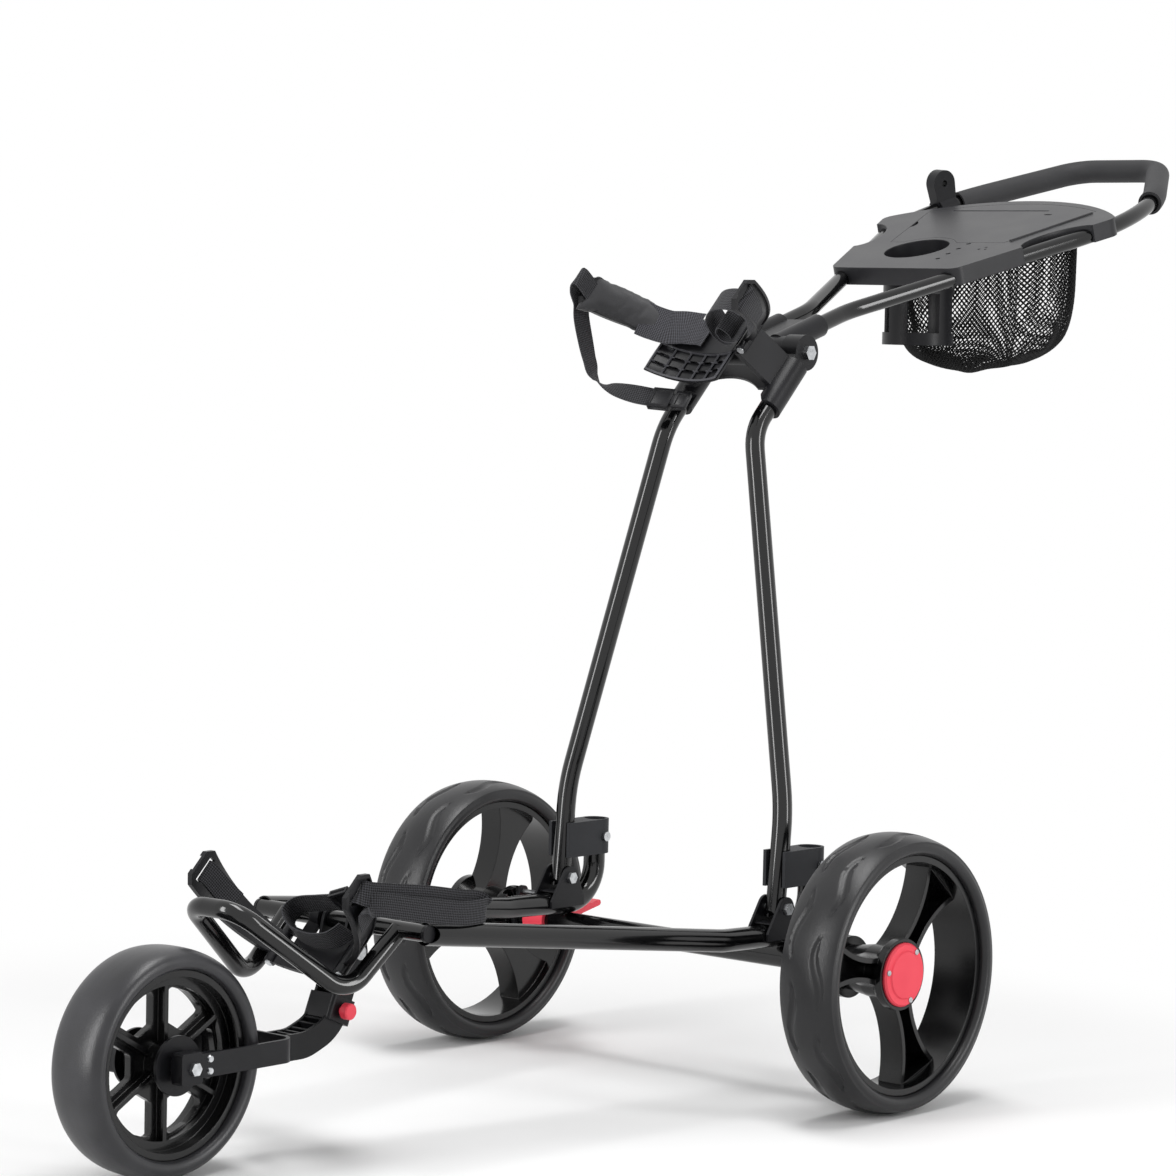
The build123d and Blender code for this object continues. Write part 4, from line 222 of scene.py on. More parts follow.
finish = {
    "tube": coatedTube(),
    "bracket_metal": mouldedPlastic("powderCoatSatinBlack", "#141416", "#1c1c1f", 0.3, 0.42, 1.2, 0.6),
    "steel": zincSteel(),
    "foam_tyre": evaFoam("evaFoamTyre", "#121214", "#1a1a1c", 1.4, 0.3),
    "moulded_plastic": mouldedPlastic("glassFilledNylonBlack", "#101012", "#18181b", 0.3, 0.44, 0.9, 0.8),
    # painted highlight: the panel ribs are the same black nylon as the panel, coloured light grey to stand for light
    # caught on their edges
    "rib_painted_highlight": mouldedPlastic("nylonRibPaintedHighlight", "#46464a", "#545458", 0.4, 0.5, 0.9, 0.3),
    "gloss_plastic": mouldedPlastic("polishedNylonRim", "#060607", "#0c0c0d", 0.16, 0.24, 2.0, 1.4, 0.42),
    "clip_plastic": mouldedPlastic("nylonClipGrey", "#232427", "#2c2d30", 0.5, 0.62, 0.9, 0.6),
    "tray_plastic": mouldedPlastic("absTrayGrain", "#1d1d1f", "#262629", 0.3, 0.42, 0.8, 2.0, 0.3),
    "red_plastic": mouldedPlastic("absRed", "#e2394c", "#ea4555", 0.34, 0.44, 0.9, 0.6, 0.4),
    "webbing": wovenWebbing("nylonWebbingBlack", "#060607", "#37373b", 5.0),
    "elastic": wovenWebbing("ribbedElasticBlack", "#0a0a0b", "#4a4a50", 4.4),
    "pad_fabric": neopreneCloth(),
    "net": evaFoam("knittedNetCord", "#040405", "#0a0a0b", 0.6, 0.7),
    "front_foam": evaFoam("evaFoamFrontTyre", "#262628", "#303033", 1.4, 0.28),
    "foam_grip": evaFoam("nitrileFoamGrip", "#1d1d1f", "#262628", 1.2, 0.58),
    "white_wire": mouldedPlastic("vinylDippedWire", "#d8d8d6", "#e6e6e4", 0.3, 0.4, 1.5, 0.3, 0.5),
}
print("stage: materials made,", len(finish))


def paint(piece, slotName):
    piece.data.materials.clear()
    piece.data.materials.append(finish[slotName])


# which finish each CAD node keeps
slots = {
    "tube": ["rear_axle_tube", "side_tube_left", "side_tube_right", "front_cross_tube", "bag_rest_bar", "uprights",
             "handle_tube"],
    "bracket_metal": ["front_bracket", "mast_clevises", "front_fork"],
    "steel": ["axle_stubs", "chassis_fasteners", "cap_screws_left", "cap_screws_right", "front_axle_and_rivets",
              "latch_spring", "brake_pin", "mast_fasteners", "lid_pin"],
    "foam_tyre": ["rear_tyre_left", "rear_tyre_right", "front_tyre"],
    "moulded_plastic": ["tube_end_caps", "lower_cradle_body", "brake_guide_plate", "hub_bushes_left",
                        "hub_bushes_right", "front_arm", "fork_end_blocks", "front_hub_discs", "lower_wing_left",
                        "lower_wing_right", "mast_bracket", "upper_wing_left", "upper_wing_right", "strap_buckle",
                        "handle_root", "cup_cradle", "umbrella_holder"],
    "gloss_plastic": ["rear_rim_left", "rear_rim_right", "front_rim"],
    "clip_plastic": ["mast_clips"],
    "tray_plastic": ["console_tray", "tray_lid"],
    "red_plastic": ["hub_cap_left", "hub_cap_right", "latch_button", "brake_pedal", "clamp_knob"],
    "webbing": ["lower_strap_left", "lower_strap_right", "upper_strap_left", "upper_webbing"],
    "elastic": ["elastic_band"],
    "pad_fabric": ["upper_pad_sleeve"],
    "net": ["net_bag"],
    "foam_grip": ["foam_grip"],
    "white_wire": ["wire_hook"],
}
for slotName, names in slots.items():
    for name in names:
        paint(nodes[name], slotName)
print("stage: CAD nodes painted,", sum(len(names) for names in slots.values()))

# modelling helpers

def clearSelection():
    if bpy.context.object and bpy.context.object.mode != "OBJECT":
        bpy.ops.object.mode_set(mode="OBJECT")
    bpy.ops.object.select_all(action="DESELECT")


def takePiece(name):
    # the primitive just added, under its own name
    piece = bpy.context.active_object
    piece.name = name
    piece.data.name = name
    return piece


def pickPoints(piece, test):
    # selects the points whose place in mm passes the test, and stays in edit mode
    bpy.ops.object.mode_set(mode="EDIT")
    bpy.ops.mesh.select_mode(type="VERT")
    bpy.ops.mesh.select_all(action="DESELECT")
    bpy.ops.object.mode_set(mode="OBJECT")
    for vertex in piece.data.vertices:
        vertex.select = test(vertex.co / mm)
    bpy.ops.object.mode_set(mode="EDIT")


def pickEdges(piece, test):
    # selects the edges whose two ends pass the test, and stays in edit mode
    bpy.ops.object.mode_set(mode="EDIT")
    bpy.ops.mesh.select_mode(type="EDGE")
    bpy.ops.mesh.select_all(action="DESELECT")
    bpy.ops.object.mode_set(mode="OBJECT")
    points = piece.data.vertices
    for edge in piece.data.edges:
        edge.select = test(points[edge.vertices[0]].co, points[edge.vertices[1]].co)
    bpy.ops.object.mode_set(mode="EDIT")


def addModifier(piece, kind, **settings):
    modifier = piece.modifiers.new(kind.lower(), kind)
    for key, value in settings.items():
        setattr(modifier, key, value)
    bpy.context.view_layer.objects.active = piece
    bpy.ops.object.modifier_apply(modifier=modifier.name)


def finishPiece(piece, body, slotName, node=None, look=None, angle=35):
    clearSelection()
    piece.select_set(True)
    bpy.context.view_layer.objects.active = piece
    bpy.ops.object.transform_apply(location=True, rotation=True, scale=True)
    bpy.ops.object.shade_smooth_by_angle(angle=math.radians(angle))
    paint(piece, look or slotName)
    if body:
        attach(piece, body)
    if node:
        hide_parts(node)
    return piece


def smoothLine(points, count):
    # evenly spaced points on a smooth line through the given ones, of any dimension
    fine = []
    ends = [points[0]] + list(points) + [points[-1]]
    for i in range(1, len(ends) - 2):
        before, start, stop, after = (Vector(ends[i + k]) for k in (-1, 0, 1, 2))
        for k in range(24):
            t = k / 24
            fine.append(0.5 * (2 * start + (stop - before) * t + (2 * before - 5 * start + 4 * stop - after) * t * t
                               + (3 * start - before - 3 * stop + after) * t ** 3))
    fine.append(Vector(points[-1]))
    run = [0.0]
    for a, b in zip(fine, fine[1:]):
        run.append(run[-1] + (b - a).length)
    spaced, k = [], 0
    for i in range(count):
        want = run[-1] * i / (count - 1)
        while k < len(run) - 2 and run[k + 1] < want:
            k += 1
        share = (want - run[k]) / max(run[k + 1] - run[k], 1e-9)
        spaced.append(fine[k].lerp(fine[k + 1], share))
    return spaced, run[-1]


# tyres: the section drawn once as a bent circle and spun round the axle
rearTyre = {
    "section": [(25.0, 128.2), (25.2, 130.4), (31.0, 131.0), (34.8, 133.4), (36.2, 135.6), (36.4, 139.0), (36.0, 141.6),
                (34.6, 143.0), (35.3, 144.6), (33.2, 146.2), (29.0, 147.9), (24.0, 149.4), (16.0, 151.2), (8.0, 152.2),
                (0.0, 152.5)],
    "points": 34,  # on half the section
    "steps": 320,
    "groove": {"rows": (-17.0, 17.0), "count": 9, "length": 86.0, "half": 5.2, "wave": 5.0, "depth": 2.0,
               "tread": 145.5, "middle": 150.0},  # radius where the tread starts and of its middle
}
frontTyre = {
    "section": [(23.4, 92.2), (24.2, 94.2), (30.2, 94.8), (33.6, 97.0), (34.9, 100.6), (34.8, 104.0), (33.0, 107.8),
                (29.0, 110.9), (22.0, 113.2), (12.0, 114.6), (0.0, 115.0)],
    "points": 26,
    "steps": 220,
}


def spinTyre(name, tyre):
    half, length = smoothLine([Vector((x, 0, r)) for x, r in tyre["section"]], tyre["points"])
    ring = half + [Vector((-p.x, 0, p.z)) for p in reversed(half[:-1])]
    clearSelection()
    bpy.ops.mesh.primitive_circle_add(vertices=len(ring), radius=0.03)
    piece = takePiece(name)
    for vertex, spot in zip(piece.data.vertices, ring):
        vertex.co = spot * mm
    bpy.ops.object.mode_set(mode="EDIT")
    bpy.ops.mesh.select_all(action="SELECT")
    bpy.ops.mesh.spin(steps=tyre["steps"], angle=math.tau, center=(0, 0, 0), axis=(1, 0, 0))
    bpy.ops.mesh.select_all(action="SELECT")
    bpy.ops.mesh.remove_doubles(threshold=0.00002)
    bpy.ops.mesh.normals_make_consistent(inside=False)
    bpy.ops.object.mode_set(mode="OBJECT")
    return piece


def cutGrooves(piece, groove):
    # flame-shaped hollows pressed into the tread, staggered left and right
    pitch = math.tau * groove["middle"] / groove["count"]
    for vertex in piece.data.vertices:
        x, y, z = vertex.co / mm
        around = math.atan2(y, z) * groove["middle"]
        if math.hypot(y, z) < groove["tread"]:
            continue
        for row, middle in enumerate(groove["rows"]):
            t = ((around / pitch + 0.5 * row) % 1.0) * pitch / groove["length"]
            if t >= 1.0:
                continue
            line = middle + math.copysign(groove["wave"], middle) * math.sin(math.tau * t)
            half = groove["half"] * math.sin(math.pi * t) ** 0.7
            off = abs(x - line) / max(half, 0.01)
            if off < 1.0:
                sink = groove["depth"] * (1 - off ** 3) * min(1.0, half / 2.0)
                vertex.co.y *= 1 - sink / math.hypot(y, z)
                vertex.co.z *= 1 - sink / math.hypot(y, z)


piece = spinTyre("rearTyreLeft", rearTyre)
cutGrooves(piece, rearTyre["groove"])
twin = piece.copy()
twin.data = piece.data.copy()
twin.name = "rearTyreRight"
bpy.context.collection.objects.link(twin)
piece.location = (Vector(cart["rearAxle"]) + Vector((cart["wheelX"], 0, 0))) * mm
twin.location = (Vector(cart["rearAxle"]) - Vector((cart["wheelX"], 0, 0))) * mm
finishPiece(piece, "rear_wheel_left", "foam_tyre", "rear_tyre_left")
finishPiece(twin, "rear_wheel_right", "foam_tyre", "rear_tyre_right")
piece = spinTyre("frontTyre", frontTyre)
piece.location = Vector(cart["frontAxle"]) * mm
finishPiece(piece, "front_wheel", "foam_tyre", "front_tyre", look="front_foam")
print("stage: tyres spun")

# grip: a round foam sleeve swept along the bent handle tube, drawn in the handle's own plane
grip = {"radius": 14.5, "rise": 7.5, "startAngle": 19.27, "wideTurn": 30.32, "wide": (-91.9, 527.5, 250.0),
        "leg": 100.3, "endTurn": 59.68, "end": (33.6, 717.0, 46.0), "rim": 3.2}
startTurn, wideTurn = math.radians(grip["startAngle"]), math.radians(grip["wideTurn"])
wideU, wideS, wideR = grip["wide"]
endU, endS, endR = grip["end"]
clearSelection()
bpy.ops.mesh.primitive_circle_add(
    vertices=40, radius=grip["radius"] * mm, rotation=(math.radians(90), 0, startTurn),
    location=Vector((wideU + wideR * math.cos(startTurn), wideS + wideR * math.sin(startTurn), grip["rise"])) * mm)
piece = takePiece("foamGrip")
bpy.ops.object.transform_apply(location=True, rotation=True, scale=True)
bpy.ops.object.mode_set(mode="EDIT")
bpy.ops.mesh.select_all(action="SELECT")


def sweepArc(u, s, turn, steps):
    bpy.ops.mesh.spin(steps=steps, angle=-turn, center=Vector((u, s, grip["rise"])) * mm, axis=(0, 0, 1))


def sweepLeg(u, s, steps):
    for k in range(steps):
        bpy.ops.mesh.extrude_region_move(TRANSFORM_OT_translate={"value": Vector((u, s, 0)) * mm / steps})


sweepArc(wideU, wideS, wideTurn - startTurn, 6)
sweepLeg(-grip["leg"] * math.sin(wideTurn), grip["leg"] * math.cos(wideTurn), 8)
sweepArc(endU, endS, math.radians(grip["endTurn"]), 14)
sweepLeg(-2 * endU, 0, 6)
sweepArc(-endU, endS, math.radians(grip["endTurn"]), 14)
sweepLeg(-grip["leg"] * math.sin(wideTurn), -grip["leg"] * math.cos(wideTurn), 8)
sweepArc(-wideU, wideS, wideTurn - startTurn, 6)
bpy.ops.mesh.select_all(action="SELECT")
bpy.ops.mesh.fill_holes(sides=0)
bpy.ops.mesh.select_all(action="SELECT")
bpy.ops.mesh.normals_make_consistent(inside=False)
bpy.ops.mesh.select_mode(type="FACE")
bpy.ops.mesh.select_all(action="DESELECT")
bpy.ops.mesh.select_face_by_sides(number=40, type="EQUAL")
bpy.ops.mesh.inset(thickness=grip["rim"] * mm)
bpy.ops.mesh.inset(thickness=0.8 * mm, depth=-4.0 * mm)  # cut end of the sleeve, hollow round the tube
bpy.ops.object.mode_set(mode="OBJECT")
piece.rotation_euler = (math.radians(cart["handleSlope"]), 0, 0)
piece.location = Vector(cart["hinge"]) * mm
finishPiece(piece, "handle", "foam_grip", "foam_grip", angle=50)
print("stage: grip swept")

# net bag: a box net turned into diamonds, then hung as a sagging rounded bag and given its cord
net = {"cells": (31, 15, 22), "middle": 457.0, "halfLong": 54.0, "halfFront": 100.0, "halfRear": 128.0, "top": 17.4,
       "depth": 160.0, "cord": 2.4, "fold": 3.0, "sag": 2.5, "floor": 0.3, "square": 4,
       "hang": [(0.0, 0.0, 1.0), (0.1, 0.34, 0.99), (0.2, 0.62, 0.955), (0.3, 0.82, 0.875), (0.4, 0.93, 0.76),
                (0.55, 0.99, 0.56), (0.76, 1.0, 0.29), (1.0, 0.99, 0.0)]}  # (way up, share of width, share of depth)
hangLine = smoothLine([Vector(spot) for spot in net["hang"]], 80)[0]
clearSelection()
bpy.ops.mesh.primitive_cube_add(size=2.0)
piece = takePiece("netBag")
bpy.ops.object.mode_set(mode="EDIT")
bpy.ops.mesh.select_mode(type="FACE")
bpy.ops.mesh.select_all(action="DESELECT")
bpy.ops.object.mode_set(mode="OBJECT")
for face in piece.data.polygons:
    face.select = face.normal.z > 0.9
bpy.ops.object.mode_set(mode="EDIT")
bpy.ops.mesh.delete(type="ONLY_FACE")
for axis in range(3):
    pickEdges(piece, lambda a, b: abs(a[axis] - b[axis]) > 1.0)
    bpy.ops.mesh.subdivide(number_cuts=net["cells"][axis] - 1)
bpy.ops.mesh.select_mode(type="FACE")
bpy.ops.mesh.select_all(action="SELECT")
bpy.ops.mesh.poke()
pickEdges(piece, lambda a, b: min(a.z, b.z) < 0.999 and sum(abs(a[k] - b[k]) > 0.0001 for k in range(3)) == 1)
bpy.ops.mesh.dissolve_edges(use_verts=False)
bpy.ops.object.mode_set(mode="OBJECT")


def hangShare(way):
    for low, high in zip(hangLine, hangLine[1:]):
        if way <= high.x:
            return low.lerp(high, (way - low.x) / max(high.x - low.x, 1e-6))[1:]
    return hangLine[-1][1:]


for vertex in piece.data.vertices:
    x, y, z = vertex.co
    reach = max(abs(x), abs(y))
    way = net["floor"] * reach if z < -0.999 else net["floor"] + (1 - net["floor"]) * (z + 1) / 2
    width, deep = hangShare(way)
    norm = (abs(x) ** net["square"] + abs(y) ** net["square"]) ** (1 / net["square"]) or 1.0
    x, y = (x / norm * width, y / norm * width)
    turn = math.atan2(y, x)
    ripple = net["fold"] * deep * (math.sin(5 * turn + 3 * deep) + 0.6 * math.sin(9 * turn - 5 * deep))
    half = (net["halfFront"] + net["halfRear"]) / 2 + (net["halfRear"] - net["halfFront"]) / 2 * y
    depth = net["depth"] * deep + net["sag"] * deep * math.sin(3 * turn)
    lag = depth * math.tan(math.radians(cart["handleSlope"]))
    vertex.co = handlePoint(x * half + ripple * math.cos(turn),
                            net["middle"] + net["halfLong"] * y + ripple * math.sin(turn) - lag, net["top"] - depth)
addModifier(piece, "WIREFRAME", thickness=net["cord"] * mm, use_even_offset=False, use_boundary=True, use_replace=True)
finishPiece(piece, "handle", "net", "net_bag", angle=60)
print("stage: net hung,", len(piece.data.polygons), "faces")

# straps: flat tape laid along a smooth line; each spot gives the place and the way its width runs
tape = {"width": 25.0, "wide": 32.0, "thick": 1.5, "cells": 6, "step": 2.5}


def layTape(name, spots, width=tape["width"], thick=tape["thick"]):
    line, length = smoothLine([Vector((*p, *w)) for p, w in spots], 400)
    places = [Vector(v[:3]) for v in line]
    length = sum((b - a).length for a, b in zip(places, places[1:]))
    count = max(8, int(length / tape["step"]))
    clearSelection()
    bpy.ops.mesh.primitive_grid_add(x_subdivisions=count, y_subdivisions=tape["cells"], size=1.0)
    piece = takePiece(name)
    weave = piece.data.uv_layers[0].data
    for loop in piece.data.loops:
        flat = piece.data.vertices[loop.vertex_index].co
        weave[loop.index].uv = ((flat.x + 0.5) * length * mm, (flat.y + 0.5) * width * mm)
    for vertex in piece.data.vertices:
        at = (vertex.co.x + 0.5) * (len(line) - 1)
        k = min(int(at), len(line) - 2)
        spot = places[k].lerp(places[k + 1], at - k)
        way = (places[k + 1] - places[k]).normalized()
        across = Vector(line[k][3:]).lerp(Vector(line[k + 1][3:]), at - k)
        across = (across - way * across.dot(way)).normalized()
        vertex.co = (spot + across * vertex.co.y * width) * mm
    bpy.ops.object.mode_set(mode="EDIT")
    bpy.ops.mesh.select_all(action="SELECT")
    bpy.ops.mesh.normals_make_consistent(inside=False)
    bpy.ops.object.mode_set(mode="OBJECT")
    addModifier(piece, "SOLIDIFY", thickness=thick * mm, offset=0.0)
    return piece, length


def lower(across, back, along):
    return bagPoint("lowerBag", across, back, along) / mm


def upper(across, back, along):
    return bagPoint("upperBag", across, back, along) / mm


def lowerArc(radius, angle, along=0.0):
    return bagArc("lowerBag", radius, angle, along) / mm


def upperArc(radius, angle, along=0.0):
    return bagArc("upperBag", radius, angle, along) / mm


wing = {"shift": 31.0, "from": 4.0, "over": 88.0}  # the far wing moves along the bag between these distances back


def wingMiddle(angle):
    # how far the middle of the far upper wing has moved along the bag at this angle
    back = cart["bagRadius"] * math.cos(math.radians(angle))
    return wing["shift"] * min(1.0, max(0.0, (back - wing["from"]) / wing["over"]))


along = bagAlong
tilted = bagAlong * 0.815 - bagBack * 0.579

# lower left: up the inside of the near wing, out through its slot, back in a long flat loop that lies by the tube
spots = [
    (lowerArc(105.6, 46, -9), along), (lowerArc(106.6, 58, -6), along), (lowerArc(106.9, 70, -2), along),
    (lowerArc(107.2, 80), along), (lowerArc(110.0, 85.9), along), (lowerArc(115.4, 86.6, 1), along),
    (lower(120.5, 16, 7), tilted), (lower(122.8, 40, 25), tilted), (lower(124.2, 80, 55), tilted),
    (lower(122.6, 118, 81), tilted), (lower(120.6, 143, 99), tilted), (lower(123.6, 154.0, 101), tilted),
    (lower(128.4, 150, 95), tilted), (lower(131.6, 126, 73), tilted), (lower(130.0, 92, 48), tilted),
    (lower(127.6, 58, 25), tilted), (lower(124.4, 28, 4), tilted), (lowerArc(119.8, 80, -6), along),
    (lowerArc(117.4, 68, -10), along),
]
piece, length = layTape("lowerStrapLeft", spots)
finishPiece(piece, None, "webbing", "lower_strap_left", angle=60)
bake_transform(piece)

# lower right: wrapped over the end bar of the far wing
spots = [
    (lowerArc(106.4, -60, -4), along), (lowerArc(106.7, -70, -2), along), (lowerArc(107.0, -80), along),
    (lowerArc(110.0, -85.9), along), (lowerArc(113.4, -81), along), (lowerArc(113.6, -70, -2), along),
    (lowerArc(113.6, -56, -5), along), (lowerArc(115.2, -42, -9), along),
]
piece, length = layTape("lowerStrapRight", spots)
finishPiece(piece, "lower_wing_right", "webbing", "lower_strap_right", angle=60)

# upper left: out through the near wing's slot, then rolled up inside the wing in loose folds
spots = [
    (upperArc(113.6, 62, 3), along), (upperArc(113.6, 74, 1), along), (upperArc(113.2, 82), along),
    (upperArc(110.0, 85.9), along), (upperArc(105.4, 83, 4), along), (upperArc(100.0, 74, 12), along),
    (upper(84, 38, 20), along), (upper(62, 36, 24), along), (upper(38, 42, 26), along), (upper(22, 58, 26), along),
    (upper(22, 78, 24), along), (upper(36, 88, 20), along), (upper(52, 82, 16), along), (upper(56, 68, 15), along),
    (upper(46, 58, 16), along), (upper(38, 66, 16), along), (upper(44, 76, 14), along), (upper(62, 74, 10), along),
    (upper(76, 66, 6), along),
]
piece, length = layTape("upperStrapLeft", spots, tape["wide"])
finishPiece(piece, "upper_wing_left", "webbing", "upper_strap_left", angle=60)

# upper right: round the pad's open end, down behind the wing, folded at the bottom and along to the buckle
side = bagBack
spots = [
    (upperArc(106.9, -78, 0), along), (upperArc(106.9, -88, -1), along), (upperArc(106.4, -96, -2), along),
    (upperArc(109.6, -102, -3), along), (upperArc(115.2, -101, -4), along), (upperArc(119.0, -95, -7), along),
    (upper(-119.6, 8, -12), along),
    (upper(-119.5, 22, -24), along * 0.9 + side * 0.3), (upper(-118.0, 44, -38), along * 0.5 + side * 0.8),
    (upper(-116.0, 64, -50), side), (upper(-114.0, 80, -58), side), (upper(-109.0, 88, -62), side + along * 0.3),
    (upper(-99.0, 93, -62), side * 0.7 + along * 0.8), (upper(-86.0, 100, -61), side * 0.3 + along),
    (upper(-68.0, 109, -58), along), (upper(-50.0, 116.5, -55), along),
]
piece, length = layTape("upperWebbing", spots)
finishPiece(piece, "upper_wing_right", "webbing", "upper_webbing", angle=60)

# wide elastic from inside the pad across the hinge to the hook on the panel
band = {"width": 47.0, "thick": 1.4}
spots = [
    (upperArc(106.4, -52, 21), along), (upperArc(104.8, -44, 23), along), (upperArc(102.8, -34, 26), along),
    (upperArc(102.0, -25, 33), along), (upperArc(102.2, -18, 36), along), (upperArc(102.6, -12, 38), along),
    (upperArc(103.4, -7, 38), along),
]
piece, length = layTape("elasticBand", spots, band["width"], band["thick"])
finishPiece(piece, None, "webbing", "elastic_band", look="elastic", angle=60)
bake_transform(piece)
print("stage: straps laid")

# pad sleeve on the far wing: a slim block bent round the bag, then blown up a little as cloth
pad = {"angles": (-38.0, -90.0), "inner": 105.4, "outer": 115.6, "halfRoot": 22.0, "halfTip": 27.0, "shift": -3.0,
       "bow": 7.0, "voxel": 4.0, "pressure": 4.0, "cap": 4.5, "frames": 20}
clearSelection()
bpy.ops.mesh.primitive_cube_add(size=1.0)
piece = takePiece("upperPadSleeve")
bpy.ops.object.mode_set(mode="EDIT")
bpy.ops.mesh.select_all(action="SELECT")
bpy.ops.mesh.subdivide(number_cuts=15)
bpy.ops.object.mode_set(mode="OBJECT")
for vertex in piece.data.vertices:
    x, y, z = vertex.co
    t = x + 0.5
    angle = pad["angles"][0] + (pad["angles"][1] - pad["angles"][0]) * t
    half = pad["halfRoot"] + (pad["halfTip"] - pad["halfRoot"]) * t
    edge = 1.0 - 0.55 * abs(2 * y) ** 6  # the long edges are sewn flat
    radius = (pad["inner"] + pad["outer"]) / 2 + (pad["outer"] - pad["inner"]) * z * edge
    middle = wingMiddle(angle) + pad["shift"] * t + pad["bow"] * math.sin(math.pi * t)
    vertex.co = bagArc("upperBag", radius, angle, middle + 2 * y * half)
addModifier(piece, "REMESH", mode="VOXEL", voxel_size=pad["voxel"] * mm)
rest = [vertex.co.copy() for vertex in piece.data.vertices]
cloth = piece.modifiers.new("cloth", "CLOTH")
cloth.settings.use_pressure = True
cloth.settings.uniform_pressure_force = pad["pressure"]
cloth.settings.effector_weights.gravity = 0.0
cloth.point_cache.frame_start, cloth.point_cache.frame_end = 1, pad["frames"]
for number in range(1, pad["frames"] + 1):
    bpy.context.scene.frame_set(number)
bpy.context.view_layer.objects.active = piece
bpy.ops.object.modifier_apply(modifier="cloth")
bpy.context.scene.frame_set(1)
for vertex, start in zip(piece.data.vertices, rest):
    move = vertex.co - start
    vertex.co = start + move * min(1.0, pad["cap"] * mm / max(move.length, 1e-9))
addModifier(piece, "SUBSURF", levels=1, render_levels=1)
finishPiece(piece, "upper_wing_right", "pad_fabric", "upper_pad_sleeve", angle=60)
print("stage: pad sleeve blown up")

# panel ribs: a bent grid of square bars on the bag side of the mast panel, and the apron that carries their left end
ribs = {"angles": (-33.0, 19.0), "alongs": (-33.0, 6.6), "radius": 108.9, "cells": (5, 3), "bar": 3.4}
apron = {"angles": (-34.0, -19.0), "alongs": (-34.0, 8.4), "radius": 111.8, "thick": 2.4}


def bendGrid(piece, sheet):
    for vertex in piece.data.vertices:
        x, y = vertex.co.x + 0.5, vertex.co.y + 0.5
        vertex.co = bagArc("upperBag", sheet["radius"],
                           sheet["angles"][0] + (sheet["angles"][1] - sheet["angles"][0]) * x,
                           sheet["alongs"][0] + (sheet["alongs"][1] - sheet["alongs"][0]) * y)


clearSelection()
bpy.ops.mesh.primitive_grid_add(x_subdivisions=ribs["cells"][0] * 4, y_subdivisions=ribs["cells"][1], size=1.0)
piece = takePiece("panelRibs")
pickEdges(piece, lambda a, b: abs(a.y - b.y) > 0.01 and abs((a.x + 0.5) * ribs["cells"][0] % 1.0 - 0.5) < 0.45)
bpy.ops.mesh.dissolve_edges(use_verts=False)
bpy.ops.object.mode_set(mode="OBJECT")
bendGrid(piece, ribs)
addModifier(piece, "WIREFRAME", thickness=ribs["bar"] * mm, use_even_offset=False, use_boundary=True, use_replace=True)
bpy.ops.object.mode_set(mode="EDIT")
bpy.ops.mesh.select_all(action="SELECT")
bpy.ops.mesh.normals_make_consistent(inside=False)
bpy.ops.object.mode_set(mode="OBJECT")
# the ribs take the painted highlight finish, a light grey in place of light caught on their edges
finishPiece(piece, "mast", "moulded_plastic", look="rib_painted_highlight")
clearSelection()
bpy.ops.mesh.primitive_grid_add(x_subdivisions=12, y_subdivisions=4, size=1.0)
piece = takePiece("panelApron")
bendGrid(piece, apron)
addModifier(piece, "SOLIDIFY", thickness=apron["thick"] * mm, offset=0.0)
addModifier(piece, "BEVEL", width=0.5 * mm, segments=2, limit_method="ANGLE")
finishPiece(piece, "mast", "moulded_plastic")
print("stage: panel ribs set")

# side-release buckle: a windowed body with a waist and a tapered plug
buckle = {"wide": 27.0, "thick": 8.0, "body": 27.0, "neck": 3.0, "plug": 17.0, "round": 0.9}


def makeBuckle(name, start, way, across):
    clearSelection()
    bpy.ops.mesh.primitive_cube_add(size=1.0, scale=Vector((buckle["body"], buckle["wide"], buckle["thick"])) * mm,
                                    location=(buckle["body"] / 2 * mm, 0, 0))
    piece = takePiece(name)
    bpy.ops.object.transform_apply(location=True, rotation=True, scale=True)
    pickPoints(piece, lambda p: p.x > buckle["body"] - 0.1)
    bpy.ops.mesh.extrude_region_move(TRANSFORM_OT_translate={"value": (0, 0, 0)})
    bpy.ops.transform.resize(value=(1, 0.55, 0.7))
    bpy.ops.mesh.extrude_region_move(TRANSFORM_OT_translate={"value": (buckle["neck"] * mm, 0, 0)})
    bpy.ops.mesh.extrude_region_move(TRANSFORM_OT_translate={"value": (0, 0, 0)})
    bpy.ops.transform.resize(value=(1, 1.6, 1.3))
    bpy.ops.mesh.extrude_region_move(TRANSFORM_OT_translate={"value": (buckle["plug"] * mm, 0, 0)})
    bpy.ops.transform.resize(value=(1, 0.92, 0.7))
    for test, rim, sink in ((lambda n: abs(n.z) > 0.9, 3.4, -1.6), (lambda n: abs(n.y) > 0.9, 2.2, -1.8)):
        bpy.ops.mesh.select_mode(type="FACE")
        bpy.ops.mesh.select_all(action="DESELECT")
        bpy.ops.object.mode_set(mode="OBJECT")
        for face in piece.data.polygons:
            face.select = test(face.normal) and face.area > 60 * mm * mm
        bpy.ops.object.mode_set(mode="EDIT")
        bpy.ops.mesh.inset(thickness=rim * mm, use_individual=True)
        bpy.ops.mesh.inset(thickness=0.5 * mm, depth=sink * mm, use_individual=True)
    bpy.ops.mesh.select_all(action="SELECT")
    bpy.ops.mesh.remove_doubles(threshold=0.00001)
    bpy.ops.mesh.normals_make_consistent(inside=False)
    bpy.ops.object.mode_set(mode="OBJECT")
    addModifier(piece, "BEVEL", width=buckle["round"] * mm, segments=2, limit_method="ANGLE")
    way = way.normalized()
    across = (across - way * across.dot(way)).normalized()
    piece.matrix_world = Matrix.Translation(start * mm) @ Matrix((way, across, way.cross(across))).transposed().to_4x4()
    return piece


piece = makeBuckle("strapBuckle", upper(-51, 116.2, -56.4), upper(46, 9, 5) - upper(0, 0, 0), along)
finishPiece(piece, "upper_wing_right", "moulded_plastic", "strap_buckle")

